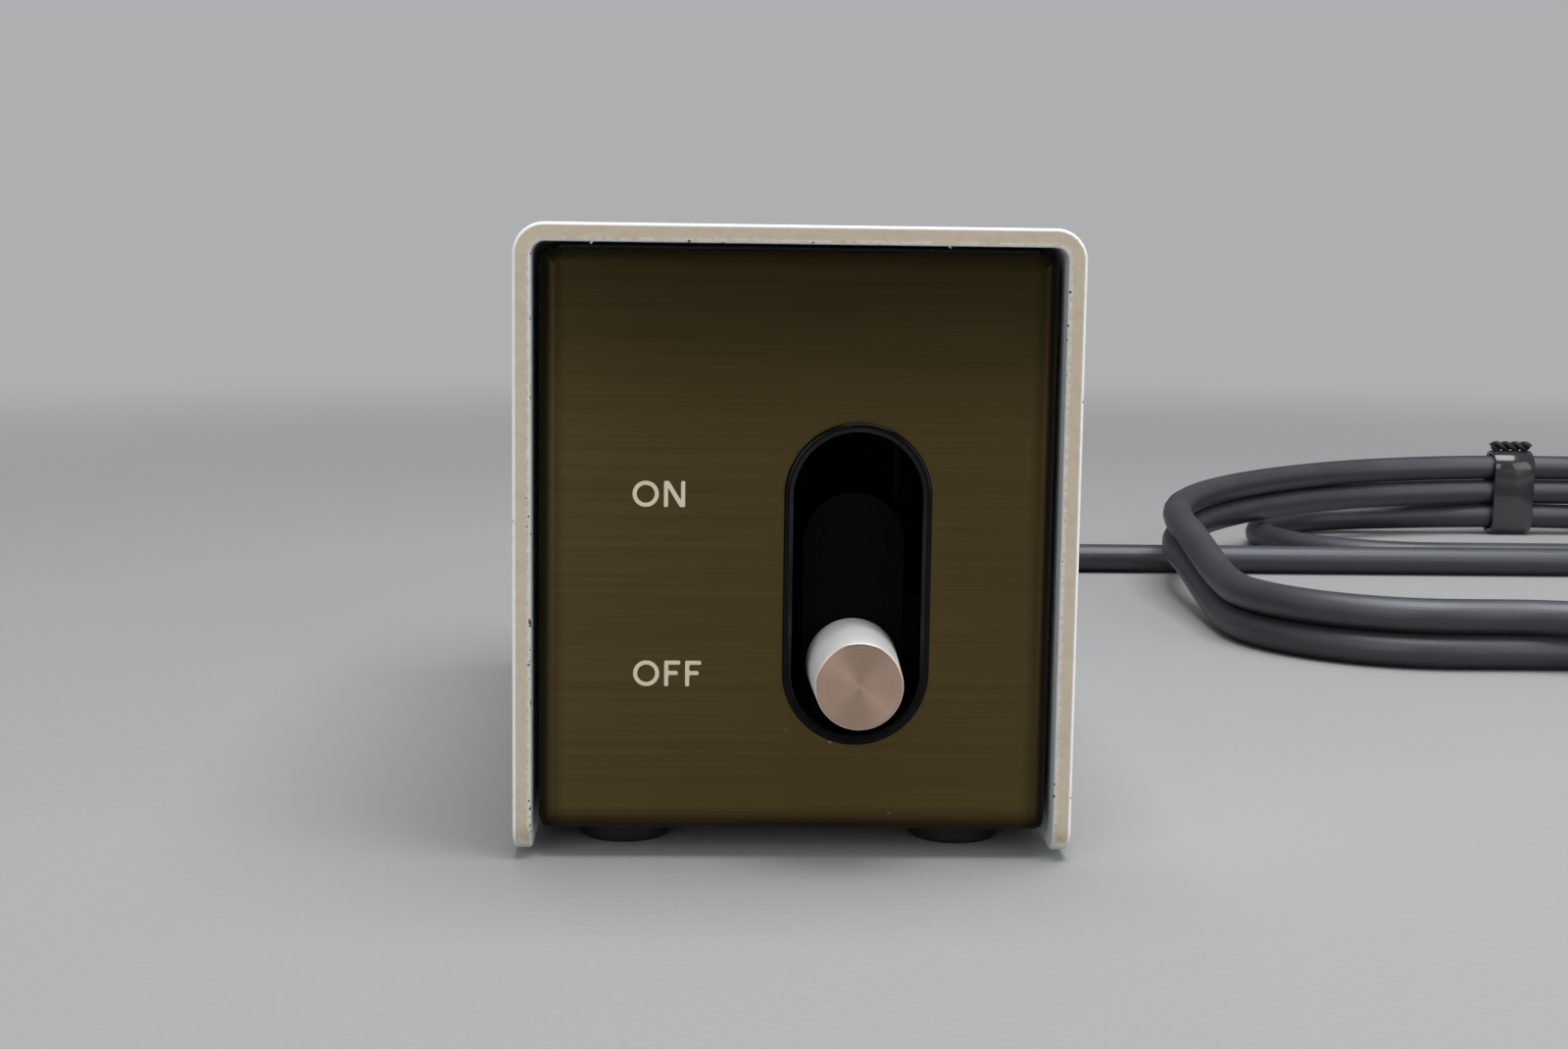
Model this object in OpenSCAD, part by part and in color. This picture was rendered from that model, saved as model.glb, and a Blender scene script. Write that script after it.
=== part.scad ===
// Moving coil step-up transformer with a sliding selector, a captive output lead and two phono plugs.
// Millimetres. X to the right, Y to the back, Z up, with the feet on Z = 0.
// Inside seat() Y is counted from the front edge of the cover.

/* [Cover] */
// Outside width of the cover
cover_w = 78; // [76:0.5:110]
// Height of the cover from its lower edge to its top
cover_h = 87.2; // [84:0.2:120]
// Depth of the cover, front edge to back edge
cover_d = 150; // [130:1:220]
// Thickness of the cover's sheet
cover_t = 2.6; // [2:0.1:4]
// Outside radius of the cover's two bends
cover_bend_r = 4.4; // [4.2:0.1:7]
// Height of the cover's lower edge above the floor
leg_gap = 1; // [0.4:0.1:3]
// Rounding of the lower corners of the side walls
leg_corner_r = 4; // [1:0.5:8]

/* [Panels] */
// Depth of the front panel's face behind the cover's front edge
panel_recess = 1.3; // [0.5:0.1:4]
// Thickness of the front panel
panel_t = 3; // [2.5:0.1:5]
// Rounding of the front panel's edges
panel_edge_r = 2.4; // [0.5:0.1:2.4]
// Gap between the front panel and the cover
panel_gap = 0.8; // [0.1:0.05:0.9]
// Gap between the rear panel and the cover
rear_gap = 0.2; // [0.1:0.05:0.9]
// Height of the panels' lower edges above the cover's lower edge
panel_rise = 3; // [1:0.5:3.5]
// Depth of the rear panel's face inside the cover's back edge
rear_recess = 2; // [0.5:0.5:6]
// Thickness of the rear panel
rear_t = 1.5; // [1:0.1:3]

/* [Chassis] */
// Thickness of the chassis sheet
chassis_t = 1.5; // [1:0.1:2]
// Height of the side lips that take the cover's screws
lip_h = 23; // [20:1:40]
// Height of the rubber feet
foot_h = 5; // [4.6:0.1:9]
// Diameter of the rubber feet
foot_d = 14; // [11:0.5:18]
// Distance of each foot from the middle of the box
foot_x = 24; // [18:0.5:26]
// Distance of the feet from the front and back edges of the cover
foot_y = 16; // [14:0.5:24]

/* [Selector] */
// Distance of the slot from the middle of the box, to the right
selector_x = 8.4; // [0:0.1:11]
// Height of the middle of the slot above the floor
selector_z = 39; // [38.5:0.1:44]
// Travel of the knob between its two positions
travel = 25; // [15:0.5:25]
// Clear width of the slot
slot_w = 18.2; // [16:0.1:19]
// Clear space above and below the knob at its limits
slot_end_room = 2.35; // [1:0.05:3]
// Width of the bead round the slot
bead_w = 1.1; // [0.9:0.1:2]
// Height of the bead over the panel's face
bead_proud = 0.7; // [0.3:0.05:1.2]
// Wall of the tunnel behind the bead
tunnel_wall = 0.6; // [0.4:0.1:0.8]
// Length of the tunnel behind the chassis
tunnel_tail = 2.2; // [1:0.1:4]
// Diameter of the knob at its root
knob_d = 13.1; // [10:0.1:14]
// Diameter of the knob at its face
knob_face_d = 12; // [8:0.1:13]
// Length of the knob
knob_len = 16.8; // [12:0.1:24]
// Rounding of the rim of the knob's face
knob_rim_r = 0.3; // [0.1:0.05:1]
// Width of the shutter behind the knob
shutter_w = 14.5; // [12:0.1:17]
// Thickness of the shutter
shutter_t = 1.2; // [1:0.1:2]
// Reach of the shutter above the knob's axis
shutter_up = 24.5; // [12:0.5:25]
// Reach of the shutter below the knob's axis
shutter_down = 14; // [9:0.5:14]
// Diameter of the knob's shaft
shaft_d = 5; // [3:0.1:6]
// Diameter of the guide rods
rod_d = 3; // [2:0.1:4]

/* [Transformers] */
// Outside diameter of the shielding cans
can_d = 26; // [24:0.1:28]
// Height of the shielding cans
can_h = 50; // [34:1:55]
// Wall of the shielding cans
can_wall = 1; // [0.6:0.1:1.4]
// Distance of the cans' axes from the front edge of the cover
can_y = 78; // [70:1:82]
// Width of the laminated core
core_w = 17; // [15:0.5:18.5]
// Thickness of the core's stack
core_stack = 12.5; // [10:0.5:13.5]
// Height of the core
core_h = 27; // [22:0.5:30]

/* [Connectors] */
// Distance of the two input jacks from the middle of the box
jack_x = 12; // [9:0.5:18]
// Height of the input jacks above the floor
jack_z = 55; // [48:0.5:62]
// Outside diameter of a jack's barrel
jack_barrel_d = 8.3; // [8:0.1:9]
// Length of a jack's barrel outside its flange
jack_barrel_len = 9; // [7:0.5:12]
// Diameter of a jack's centre socket
jack_socket_d = 3.2; // [3:0.05:3.4]
// Distance of the ground post from the middle of the box, to the left
post_x = 14; // [10:0.5:20]
// Height of the ground post above the floor
post_z = 28; // [24:0.5:34]
// Length of the ground post outside the rear panel
post_len = 12; // [10:0.5:18]
// Diameter of the ground post's stud
post_d = 4; // [3:0.1:5]
// Diameter of the ground post's nut
nut_d = 10; // [8:0.2:14]

/* [Output lead] */
// Diameter of the lead
cord_d = 7; // [6.6:0.1:7]
// Distance of the lead's bush from the middle of the box, to the right
bush_x = 16; // [12:0.5:20]
// Height of the lead's bush above the floor
bush_z = 24; // [22:0.5:28]
// Length of the tapered bush outside its flange
bush_len = 22; // [20:0.5:30]
// Diameter of each tail behind the split
tail_d = 3.8; // [3:0.1:4]
// Diameter of a plug's shell
plug_d = 11; // [10:0.1:12]

/* [Fits] */
// Radial clearance where one piece runs on another
run_gap = 0.05; // [0.02:0.01:0.1]
// Radial clearance of screws and stems in their holes
hole_gap = 0.1; // [0.05:0.01:0.2]
// Clear space between pieces that move past each other
pass_gap = 0.6; // [0.4:0.05:0.9]
// Diameter of the screws' shanks
screw_d = 3; // [2:0.1:3]

/* [Hidden] */
$fn = 64;

// Colours
cream = [0.80, 0.76, 0.69];
bronze = [0.22, 0.17, 0.10];
black = [0.05, 0.05, 0.05];
rubber = [0.08, 0.08, 0.08];
steel = [0.62, 0.63, 0.65];
alloy = [0.85, 0.84, 0.82];
brass = [0.78, 0.64, 0.32];
copper = [0.72, 0.40, 0.20];
phenolic = [0.42, 0.25, 0.12];

// Heights
cover_top = leg_gap + cover_h;
ceiling = cover_top - cover_t;
panel_low = leg_gap + panel_rise;
panel_top = ceiling - panel_gap;
panel_mid = (panel_low + panel_top) / 2;
rear_top = ceiling - rear_gap;
plate_top = foot_h + chassis_t;
flange_clear = 0.3;
flange_top = ceiling - flange_clear;

// Half widths
inner_x = cover_w / 2 - cover_t;
panel_x = inner_x - panel_gap;
rear_x = inner_x - rear_gap;
flange_inset = 2.6;
flange_x = panel_x - flange_inset;

// Places from front to back, counted from the cover's front edge
panel_back = panel_recess + panel_t;
flange_back = panel_back + chassis_t;
tunnel_end = flange_back + tunnel_tail;
shutter_gap = 1;
knob_root = tunnel_end + shutter_gap;
shutter_back = knob_root + shutter_t;
collar_len = 3.8;
carrier_front = shutter_back + collar_len;
carrier_deep = 10;
carrier_back = carrier_front + carrier_deep;
wiper_room = 5.2;
board_front = carrier_back + wiper_room;
board_t = 1.6;
board_back = board_front + board_t;
frame_t = 1.2;
frame_back = board_back + frame_t;
rear_face = cover_d - rear_recess;
rear_inner = rear_face - rear_t;
rear_flange = rear_inner - chassis_t;
rear_corner_r = max(2, cover_bend_r - cover_t);

// The object without its lead is centred on Y = 0
front_y = (knob_len - knob_root - rear_face - post_len) / 2;

// Screws
shank_hole_d = screw_d + 2 * hole_gap;
head_d = screw_d + 2.6;
head_h = 1.6;
cross_w = 0.8;
screw_tail = 2;

// Cover screws and side lips
lip_front = 24;
lip_back = cover_d - lip_front;
lip_screw_inset = 11;
lip_screw_z = plate_top + 11.5;
lip_screw_y = [lip_front + lip_screw_inset, lip_back - lip_screw_inset];

// Panel screws
panel_screw_x = flange_x - 4;
panel_screw_low = plate_top + 6;
panel_screw_high = flange_top - 6.6;
panel_screw_bite = 1.8;

// Selector
slot_h = travel + knob_d + 2 * slot_end_room;
knob_z = selector_z - travel / 2;
tunnel_w = slot_w + 2 * tunnel_wall;
tunnel_h = slot_h + 2 * tunnel_wall;
carrier_x = 10;
carrier_z = 9;
ear_room = 5.8;
frame_h = travel + 2 * carrier_z + 2 * ear_room + 2 * frame_t;
frame_low = selector_z - frame_h / 2;
frame_high = selector_z + frame_h / 2;
frame_x = 17;
frame_wall_x = carrier_x + 3;
rod_x = 7;
rod_y = carrier_front + 7;
tab_w = 6;
tab_x = frame_x - tab_w / 2;
tab_h = 8;
tab_z = [frame_low + frame_t + tab_h / 2, frame_high - frame_t - tab_h / 2];
tab_screw_gap = 1.5;
front_screw_low = tab_z[0] + (tab_h + head_d) / 2 + tab_screw_gap;
ball_d = 3;
ball_out = 1.2;
ball_y = carrier_front + 2.5;
detent_hole_d = 2.2;
detent_depth = 5;
pole_pitch = 4;
poles = [-1.5, -0.5, 0.5, 1.5];
rivet_d = 2.4;
rivet_h = 0.3;
tail_pin_d = 1;
tail_pin_len = 3;
wiper_w = 1.6;
wiper_base = 0.5;
wiper_over = 1;

// Transformers
can_x = can_d / 2 + 1.7;
can_foot_t = 1;
can_screw_gap = 0.2;
can_foot_edge = 0.7;
can_screw_y = (can_d + head_d) / 2 + can_screw_gap;
can_foot_len = 2 * can_screw_y + head_d + 2 * can_foot_edge;
leg_share = 6;
yoke_t = 3;
window_w = (core_w - leg_share - 2 * yoke_t) / 2;
window_h = core_h - 2 * yoke_t;
bobbin_wall = 0.7;
bobbin_gap = 0.1;
bobbin_in_x = leg_share + 2 * bobbin_gap;
bobbin_in_y = core_stack + 2 * bobbin_gap;
winding_room = window_w - bobbin_gap - bobbin_wall - 0.3;
winding_t = winding_room / 2;

// Jacks
jack_flange_d = 12;
jack_flange_t = 1.5;
jack_stem_d = 7.6;
jack_stem_len = 7;
jack_wall = 0.75;
contact_wall = 0.4;
jack_face_drop = 0.6;
jack_tail_len = 6;
jack_nut_w = 11;
jack_nut_t = 2;

// Ground post and nut
post_flange_d = 11;
post_flange_t = 2;
nut_gap = 0.5;
nut_len = 6;
flutes = 20;

// Bush
bush_flange_d = 14;
bush_flange_t = 2;
bush_stem_d = 9;
bush_stem_len = 5;
bush_tip_d = cord_d + 2.2;
bush_root_d = bush_flange_d - 2.5;
exit_y = rear_face + bush_flange_t + bush_len;

// Route of the lead, counted from the mouth of the bush, at a height above the floor
cord_r = cord_d / 2;
cord_sides = 10;
lead_run_y = 106;
lead_run_end = 225;
lead_points = concat(
    [
        [0, 0, bush_z], [0, 10, bush_z], [0, 21, bush_z - 2], [0, 33, bush_z - 8], [0, 45, 8.5],
        [0, 57, cord_r], [2, 70, cord_r], [8, 84, cord_r], [18, 96, cord_r], [32, 103, cord_r]
    ],
    [for (x = [48:20:208]) [x, lead_run_y, cord_r]],
    [[lead_run_end - cord_d, lead_run_y, cord_r]]
);

// Coil: one small loop beside the lead's run, then two large ones, stacked, with all rear runs in one stack.
// A half loop goes from its front end past its widest place to coil_rear, or back: [widest place, front end]
coil_rear = [235, 192];
small_front = [225, 116];
large_front = [126, -26];
large_left = [88.5, 60];
coil_halves = [
    [[275, 149], [lead_run_end, lead_run_y]], [[130, 154], small_front], [[265, 154], small_front],
    [large_left, large_front], [[296, 80], large_front], [large_left, large_front]
];
coil_half_rings = 20;
coil_sides = 6;
// Climbs of the coil: the half loop where each starts, its length in half loops, and its layers
layer = cord_d + 0.5;
coil_climbs = [[2.2, 0.55, 1], [3.42, 0.3, -1], [4.25, 0.63, 2], [5.42, 0.3, -1]];
// The coil's end leaves the top of the stack outwards, down to the floor
end_run = 56;
end_out = 10;
end_lift = 1.4;
// The tie: its distance past coil_rear, and the places on the coil that pass through it, from the lowest up
tie_back = 21;
tie_at = [for (k = [1, 3, 5]) k + 0.5 * tie_back / quarter_len(coil_rear, coil_halves[k][0])];
tie_t = 1;
tie_gap = 0.8;
tie_lift = tie_t + tie_gap + 0.1;
tie_half = 0.35;
tie_w = 12;
tie_ends_len = 13;
tie_ends_d = 3.2;

// Split, tails and plugs, counted along the lead from the end of its jacket
sleeve_len = 18;
sleeve_d = cord_d + 2.4;
tail_sides = 8;
tail_z = cord_r + end_lift;
plug_z = plug_d / 2 + 0.1;
boot_start = 66;
boot_len = 12;
boot_tip_d = tail_d + 2;
shell_start = boot_start + boot_len;
shell_len = 26;
ring_len = 7;
ring_d = 9.4;
ring_wall = 0.55;
ring_seat = 4;
pin_len = 15;
pin_d = 3.18;
plug_side = plug_d / 2 + 1.1;
tail_side = tail_d / 2 + 0.3;
tail_points = [
    [sleeve_len, tail_side, tail_z], [sleeve_len + 6, tail_side, tail_z],
    [sleeve_len + 14, tail_side + 0.6, tail_z],
    [sleeve_len + 22, tail_side + 1.6, tail_z + 0.2], [sleeve_len + 30, tail_side + 3, tail_z + 0.4],
    [boot_start - 10, plug_side - 0.6, plug_z], [boot_start - 5, plug_side, plug_z],
    [boot_start, plug_side, plug_z]
];

// Inside wiring
wire_d = 1.6;
wire_sides = 8;
wire_high = plate_top + can_h + 5;
wire_low = plate_top + 5;

// Helpers

module seat() {
    translate([0, front_y, 0]) children();
}

// Extrudes a drawing of X and Z from y0 backwards to y1
module slab(y0, y1) {
    translate([0, y1, 0]) rotate([90, 0, 0]) linear_extrude(y1 - y0) children();
}

// A round rod along Y from y0 to y1
module rod_along_y(x, z, y0, y1, d) {
    translate([x, y0, z]) rotate([-90, 0, 0]) cylinder(h = y1 - y0, d = d);
}

// An upright oval with round ends
module oval(w, h) {
    square([w, h - w], center = true);
    for (s = [-1, 1]) translate([0, s * (h - w) / 2]) circle(d = w);
}

// A rectangle with round corners, centred
module round_rect(w, h, r) {
    square([w - 2 * r, h], center = true);
    square([w, h - 2 * r], center = true);
    for (x = [-1, 1]) for (y = [-1, 1]) translate([x * (w / 2 - r), y * (h / 2 - r)]) circle(r);
}

// A pan-head screw: the seat of the head is at Z = 0 and the shank points down
module pan_screw(len) {
    rim_h = 0.6 * head_h;
    difference() {
        union() {
            translate([0, 0, -len]) cylinder(h = len + rim_h, d = screw_d);
            cylinder(h = rim_h, d = head_d);
            translate([0, 0, rim_h]) cylinder(h = head_h - rim_h, d1 = head_d, d2 = 0.7 * head_d);
        }
        for (a = [0, 90]) translate([0, 0, head_h]) rotate(a)
            cube([0.55 * head_d, cross_w, head_h], center = true);
    }
}

// A smooth rise from 0 to 1, and a smooth hump of height 1 with feet at -1 and 1
function ease(u) = let (v = max(0, min(1, u))) v * v * (3 - 2 * v);
function hump(u) = abs(u) >= 1 ? 0 : pow(cos(90 * u), 2);

function unit(v) = v / norm(v);
function heading(p, i) =
    let (last = len(p) - 1)
    i == 0 ? unit(p[1] - p[0]) : i == last ? unit(p[last] - p[last - 1])
    : unit(unit(p[i + 1] - p[i]) + unit(p[i] - p[i - 1]));

// One ring of a tube: square to t, with its first corner towards the ring's own left
function ring(c, t, r, sides) =
    let (left = unit(cross([0, 0, 1], t)), up = cross(t, left))
    [for (k = [0:sides - 1]) let (a = 360 * (k + 0.5) / sides) c + r * cos(a) * left + r * sin(a) * up];

// A closed round tube swept along points
module tube(points, r, sides) {
    n = len(points);
    rings = [for (i = [0:n - 1]) ring(points[i], heading(points, i), r, sides)];
    corners = [for (g = rings) for (c = g) c];
    walls = [for (i = [0:n - 2]) for (k = [0:sides - 1])
        let (a = i * sides + k, b = i * sides + (k + 1) % sides)
        for (f = [[a, a + sides, b], [b, a + sides, b + sides]]) f];
    start = [for (k = [1:sides - 2]) [0, k, k + 1]];
    end = let (o = (n - 1) * sides) [for (k = [1:sides - 2]) [o, o + k + 1, o + k]];
    polyhedron(points = corners, faces = concat(start, walls, end));
}

// Cover and panels

module cover_outline() {
    r = cover_bend_r;
    translate([0, leg_gap]) difference() {
        union() {
            translate([-cover_w / 2, 0]) square([cover_w, cover_h - r]);
            translate([-cover_w / 2 + r, 0]) square([cover_w - 2 * r, cover_h]);
            for (s = [-1, 1]) translate([s * (cover_w / 2 - r), cover_h - r]) circle(r);
        }
        inner_r = r - cover_t;
        translate([-inner_x, -1]) square([2 * inner_x, cover_h - r + 1]);
        translate([-inner_x + inner_r, -1]) square([2 * (inner_x - inner_r), cover_h - cover_t + 1]);
        for (s = [-1, 1]) translate([s * (inner_x - inner_r), cover_h - r]) circle(inner_r);
    }
}

// What is cut from a square lower corner to round it, all across the cover
module leg_corner() {
    r = leg_corner_r;
    difference() {
        translate([-cover_w / 2 - 1, -1, leg_gap - 1]) cube([cover_w + 2, r + 1, r + 1]);
        translate([-cover_w / 2 - 2, r, leg_gap + r]) rotate([0, 90, 0]) cylinder(h = cover_w + 4, r = r);
    }
}

module top_cover() {
    color(cream) seat() difference() {
        slab(0, cover_d) cover_outline();
        leg_corner();
        translate([0, cover_d, 0]) mirror([0, 1, 0]) leg_corner();
        for (y = lip_screw_y) translate([-cover_w, y, lip_screw_z]) rotate([0, 90, 0])
            cylinder(h = 2 * cover_w, d = shank_hole_d);
    }
}

module side_lip() {
    r = 2;
    translate([panel_x - chassis_t, (lip_front + lip_back) / 2, foot_h]) difference() {
        translate([0, -(lip_back - lip_front) / 2, 0]) cube([chassis_t, lip_back - lip_front, lip_h]);
        for (s = [-1, 1]) translate([0, s * (lip_back - lip_front) / 2, lip_h]) rotate([45, 0, 0])
            cube([4 * chassis_t, 2 * r, 2 * r], center = true);
    }
}

module chassis() {
    color(steel) seat() difference() {
        union() {
            translate([-panel_x, panel_back, foot_h]) cube([2 * panel_x, rear_inner - panel_back, chassis_t]);
            for (y = [panel_back, rear_flange]) translate([-flange_x, y, foot_h])
                cube([2 * flange_x, chassis_t, flange_top - foot_h]);
            side_lip();
            mirror([1, 0, 0]) side_lip();
        }
        slab(panel_back - 1, flange_back + 1) translate([selector_x, selector_z])
            oval(tunnel_w + 2 * hole_gap, tunnel_h + 2 * hole_gap);
        rear_window_low = plate_top + 10;
        rear_window_high = flange_top - 12.6;
        slab(rear_flange - 1, rear_inner + 1) translate([0, (rear_window_low + rear_window_high) / 2])
            round_rect(2 * (flange_x - 9), rear_window_high - rear_window_low, 3);
        for (y = lip_screw_y) translate([-cover_w, y, lip_screw_z]) rotate([0, 90, 0])
            cylinder(h = 2 * cover_w, d = shank_hole_d);
        for (s = [-1, 1]) for (z = [front_screw_low, panel_screw_high])
            rod_along_y(s * panel_screw_x, z, panel_back - 1, flange_back + 1, shank_hole_d);
        for (s = [-1, 1]) for (z = [panel_screw_low, panel_screw_high])
            rod_along_y(s * panel_screw_x, z, rear_flange - 1, rear_inner + 1, shank_hole_d);
        rod_along_y(bush_x, bush_z, rear_flange - 1, rear_inner + 1, bush_stem_d + 2 * hole_gap);
        for (s = [-1, 1]) for (z = tab_z)
            rod_along_y(selector_x + s * tab_x, z, panel_back - 1, flange_back + 1, shank_hole_d);
        foot_places() translate([0, 0, foot_h - 1]) cylinder(h = chassis_t + 2, d = shank_hole_d);
        can_screw_places() translate([0, 0, foot_h - 1]) cylinder(h = chassis_t + 2, d = shank_hole_d);
    }
}

// A plate whose front edges and corners are rounded
module front_panel() {
    r = panel_edge_r;
    w = 2 * panel_x;
    h = panel_top - panel_low;
    color(bronze) seat() difference() {
        intersection() {
            slab(panel_recess, panel_back) translate([0, panel_mid]) round_rect(w, h, r);
            translate([0, 0, panel_low]) linear_extrude(h) {
                translate([-w / 2, panel_recess + r]) square([w, panel_t - r]);
                translate([-w / 2 + r, panel_recess]) square([w - 2 * r, panel_t]);
                for (s = [-1, 1]) translate([s * (w / 2 - r), panel_recess + r]) circle(r);
            }
            translate([-w / 2, 0, 0]) rotate([90, 0, 90]) linear_extrude(w) {
                translate([panel_recess + r, panel_low]) square([panel_t - r, h]);
                translate([panel_recess, panel_low + r]) square([panel_t, h - 2 * r]);
                for (z = [panel_low + r, panel_top - r]) translate([panel_recess + r, z]) circle(r);
            }
        }
        slab(panel_recess - 1, panel_back + 1) translate([selector_x, selector_z])
            oval(tunnel_w + 2 * hole_gap, tunnel_h + 2 * hole_gap);
        bite_end = panel_back - panel_screw_bite - hole_gap;
        for (s = [-1, 1]) for (z = [front_screw_low, panel_screw_high])
            rod_along_y(s * panel_screw_x, z, bite_end, panel_back + 1, shank_hole_d);
    }
}

module rear_panel() {
    color(black) seat() difference() {
        slab(rear_inner, rear_face) translate([0, (panel_low + rear_top) / 2])
            round_rect(2 * rear_x, rear_top - panel_low, rear_corner_r);
        for (s = [-1, 1]) {
            for (z = [panel_screw_low, panel_screw_high])
                rod_along_y(s * panel_screw_x, z, rear_inner - 1, rear_face + 1, shank_hole_d);
            rod_along_y(s * jack_x, jack_z, rear_inner - 1, rear_face + 1, jack_stem_d + 2 * hole_gap);
        }
        rod_along_y(-post_x, post_z, rear_inner - 1, rear_face + 1, post_d + 2 * hole_gap);
        rod_along_y(bush_x, bush_z, rear_inner - 1, rear_face + 1, bush_stem_d + 2 * hole_gap);
    }
}

// Feet and screws

module foot_places() {
    for (x = [-foot_x, foot_x]) for (y = [foot_y, cover_d - foot_y]) translate([x, y, 0]) children();
}

foot_pocket = 2.4;

module foot(x, y) {
    color(rubber) seat() translate([x, y, 0]) difference() {
        union() {
            cylinder(h = 0.6, d1 = foot_d - 1.6, d2 = foot_d - 0.8);
            translate([0, 0, 0.6]) cylinder(h = foot_h - 0.6, d1 = foot_d - 0.8, d2 = foot_d);
        }
        translate([0, 0, -1]) cylinder(h = foot_pocket + 1, d = head_d + 1.6);
        translate([0, 0, -1]) cylinder(h = foot_h + 2, d = shank_hole_d);
    }
}

module foot_front_left() { foot(-foot_x, foot_y); }
module foot_front_right() { foot(foot_x, foot_y); }
module foot_rear_left() { foot(-foot_x, cover_d - foot_y); }
module foot_rear_right() { foot(foot_x, cover_d - foot_y); }

module foot_screws() {
    len = plate_top + screw_tail - foot_pocket;
    color(steel) seat() foot_places() translate([0, 0, foot_pocket]) mirror([0, 0, 1])
        pan_screw(len);
}

module cover_screws() {
    len = cover_w / 2 - panel_x + chassis_t + screw_tail;
    color(black) seat() for (s = [0, 1]) mirror([s, 0, 0]) for (y = lip_screw_y)
        translate([cover_w / 2, y, lip_screw_z]) rotate([0, 90, 0]) pan_screw(len);
}

module front_panel_screws() {
    color(steel) seat() for (s = [-1, 1]) for (z = [front_screw_low, panel_screw_high])
        translate([s * panel_screw_x, flange_back, z]) rotate([-90, 0, 0])
            pan_screw(chassis_t + panel_screw_bite);
}

module rear_panel_screws() {
    color(black) seat() for (s = [-1, 1]) for (z = [panel_screw_low, panel_screw_high])
        translate([s * panel_screw_x, rear_face, z]) rotate([-90, 0, 0])
            pan_screw(rear_t + chassis_t + screw_tail);
}

// Selector

// A half-round bead on an oval, with its flat side on the panel's face
module oval_bead(w, h, thick, proud) {
    straight = h - w;
    ring_r = (w - thick) / 2;
    module section() {
        intersection() {
            round_rect(thick, 2 * proud, 0.95 * min(thick / 2, proud));
            translate([-thick, 0]) square([2 * thick, 2 * proud]);
        }
    }
    for (s = [0, 1]) mirror([0, s, 0]) {
        translate([0, straight / 2, 0]) rotate_extrude(angle = 180) translate([ring_r, 0]) section();
        mirror([s, 0, 0]) translate([ring_r, -straight / 2, 0]) rotate([90, 0, 180]) linear_extrude(straight)
            section();
    }
}

module escutcheon() {
    color(black) seat() {
        translate([selector_x, panel_recess, selector_z]) rotate([90, 0, 0])
            oval_bead(slot_w + 2 * bead_w, slot_h + 2 * bead_w, bead_w, bead_proud);
        slab(panel_recess - bead_proud * 0.3, tunnel_end) translate([selector_x, selector_z]) difference() {
            oval(tunnel_w, tunnel_h);
            oval(slot_w, slot_h);
        }
    }
}

module knob() {
    r = knob_rim_r;
    color(alloy) seat() translate([selector_x, knob_root, knob_z]) rotate([90, 0, 0]) difference() {
        rotate_extrude() polygon(concat(
            [[0, 0], [knob_d / 2, 0]],
            [for (a = [0:15:90]) [knob_face_d / 2 - r + r * cos(a), knob_len - r + r * sin(a)]],
            [[0, knob_len]]
        ));
        translate([0, 0, -1]) cylinder(h = knob_len * 0.6 + 1, d = shaft_d + 2 * run_gap);
    }
}

module knob_shaft() {
    color(steel) seat() {
        rod_along_y(selector_x, knob_z, knob_root - knob_len * 0.6 + hole_gap, carrier_back, shaft_d);
        rod_along_y(selector_x, knob_z, shutter_back, carrier_front, shaft_d + 4);
    }
}

module shutter_outline(w, up, down) {
    translate([-w / 2, -down + w / 2]) square([w, up + down - w]);
    for (z = [up - w / 2, w / 2 - down]) translate([0, z]) circle(d = w);
}

module slide_shutter() {
    rim = 2.6;
    groove = 0.4;
    color(black) seat() difference() {
        slab(knob_root, shutter_back) translate([selector_x, knob_z])
            shutter_outline(shutter_w, shutter_up, shutter_down);
        slab(knob_root - 1, knob_root + groove) translate([selector_x, knob_z])
            shutter_outline(shutter_w - 2 * rim, shutter_up - rim, -shaft_d);
        rod_along_y(selector_x, knob_z, knob_root - 1, shutter_back + 1, shaft_d + 2 * hole_gap);
    }
}

module contact_carrier() {
    color(phenolic) seat() difference() {
        translate([selector_x - carrier_x, carrier_front, knob_z - carrier_z])
            cube([2 * carrier_x, carrier_deep, 2 * carrier_z]);
        rod_along_y(selector_x, knob_z, carrier_front - 1, carrier_back + 1, shaft_d + 2 * run_gap);
        for (s = [-1, 1]) translate([selector_x + s * rod_x, rod_y, knob_z - carrier_z - 1])
            cylinder(h = 2 * carrier_z + 2, d = rod_d + 2 * run_gap);
        translate([selector_x + carrier_x - detent_depth, ball_y, knob_z]) rotate([0, 90, 0])
            cylinder(h = detent_depth + 1, d = ball_d + 2 * run_gap);
    }
}

module wiper_contacts() {
    reach = travel / 2 + wiper_over;
    color(brass) seat() for (p = poles) translate([selector_x + p * pole_pitch, carrier_back, knob_z]) {
        translate([-wiper_w / 2, 0, -reach]) cube([wiper_w, wiper_base, 2 * reach]);
        for (z = [-travel / 2, 0, travel / 2]) translate([-wiper_w / 2, 0, z - wiper_over])
            cube([wiper_w, wiper_room - rivet_h - 0.3, 2 * wiper_over]);
    }
}

module guide_rod(side) {
    color(steel) seat() translate([selector_x + side * rod_x, rod_y, frame_low])
        cylinder(h = frame_h, d = rod_d);
}

module guide_rod_left() { guide_rod(-1); }
module guide_rod_right() { guide_rod(1); }

ball_x = selector_x + carrier_x + ball_out;

module detent_ball() {
    color(steel) seat() translate([ball_x, ball_y, knob_z]) sphere(d = ball_d);
}

module detent_spring() {
    from = selector_x + carrier_x - detent_depth;
    color(steel) seat() translate([from, ball_y, knob_z]) rotate([0, 90, 0]) difference() {
        cylinder(h = ball_x - ball_d / 2 - from, d = ball_d - 0.4);
        translate([0, 0, -1]) cylinder(h = detent_depth + 2, d = ball_d - 1.4);
    }
}

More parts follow.
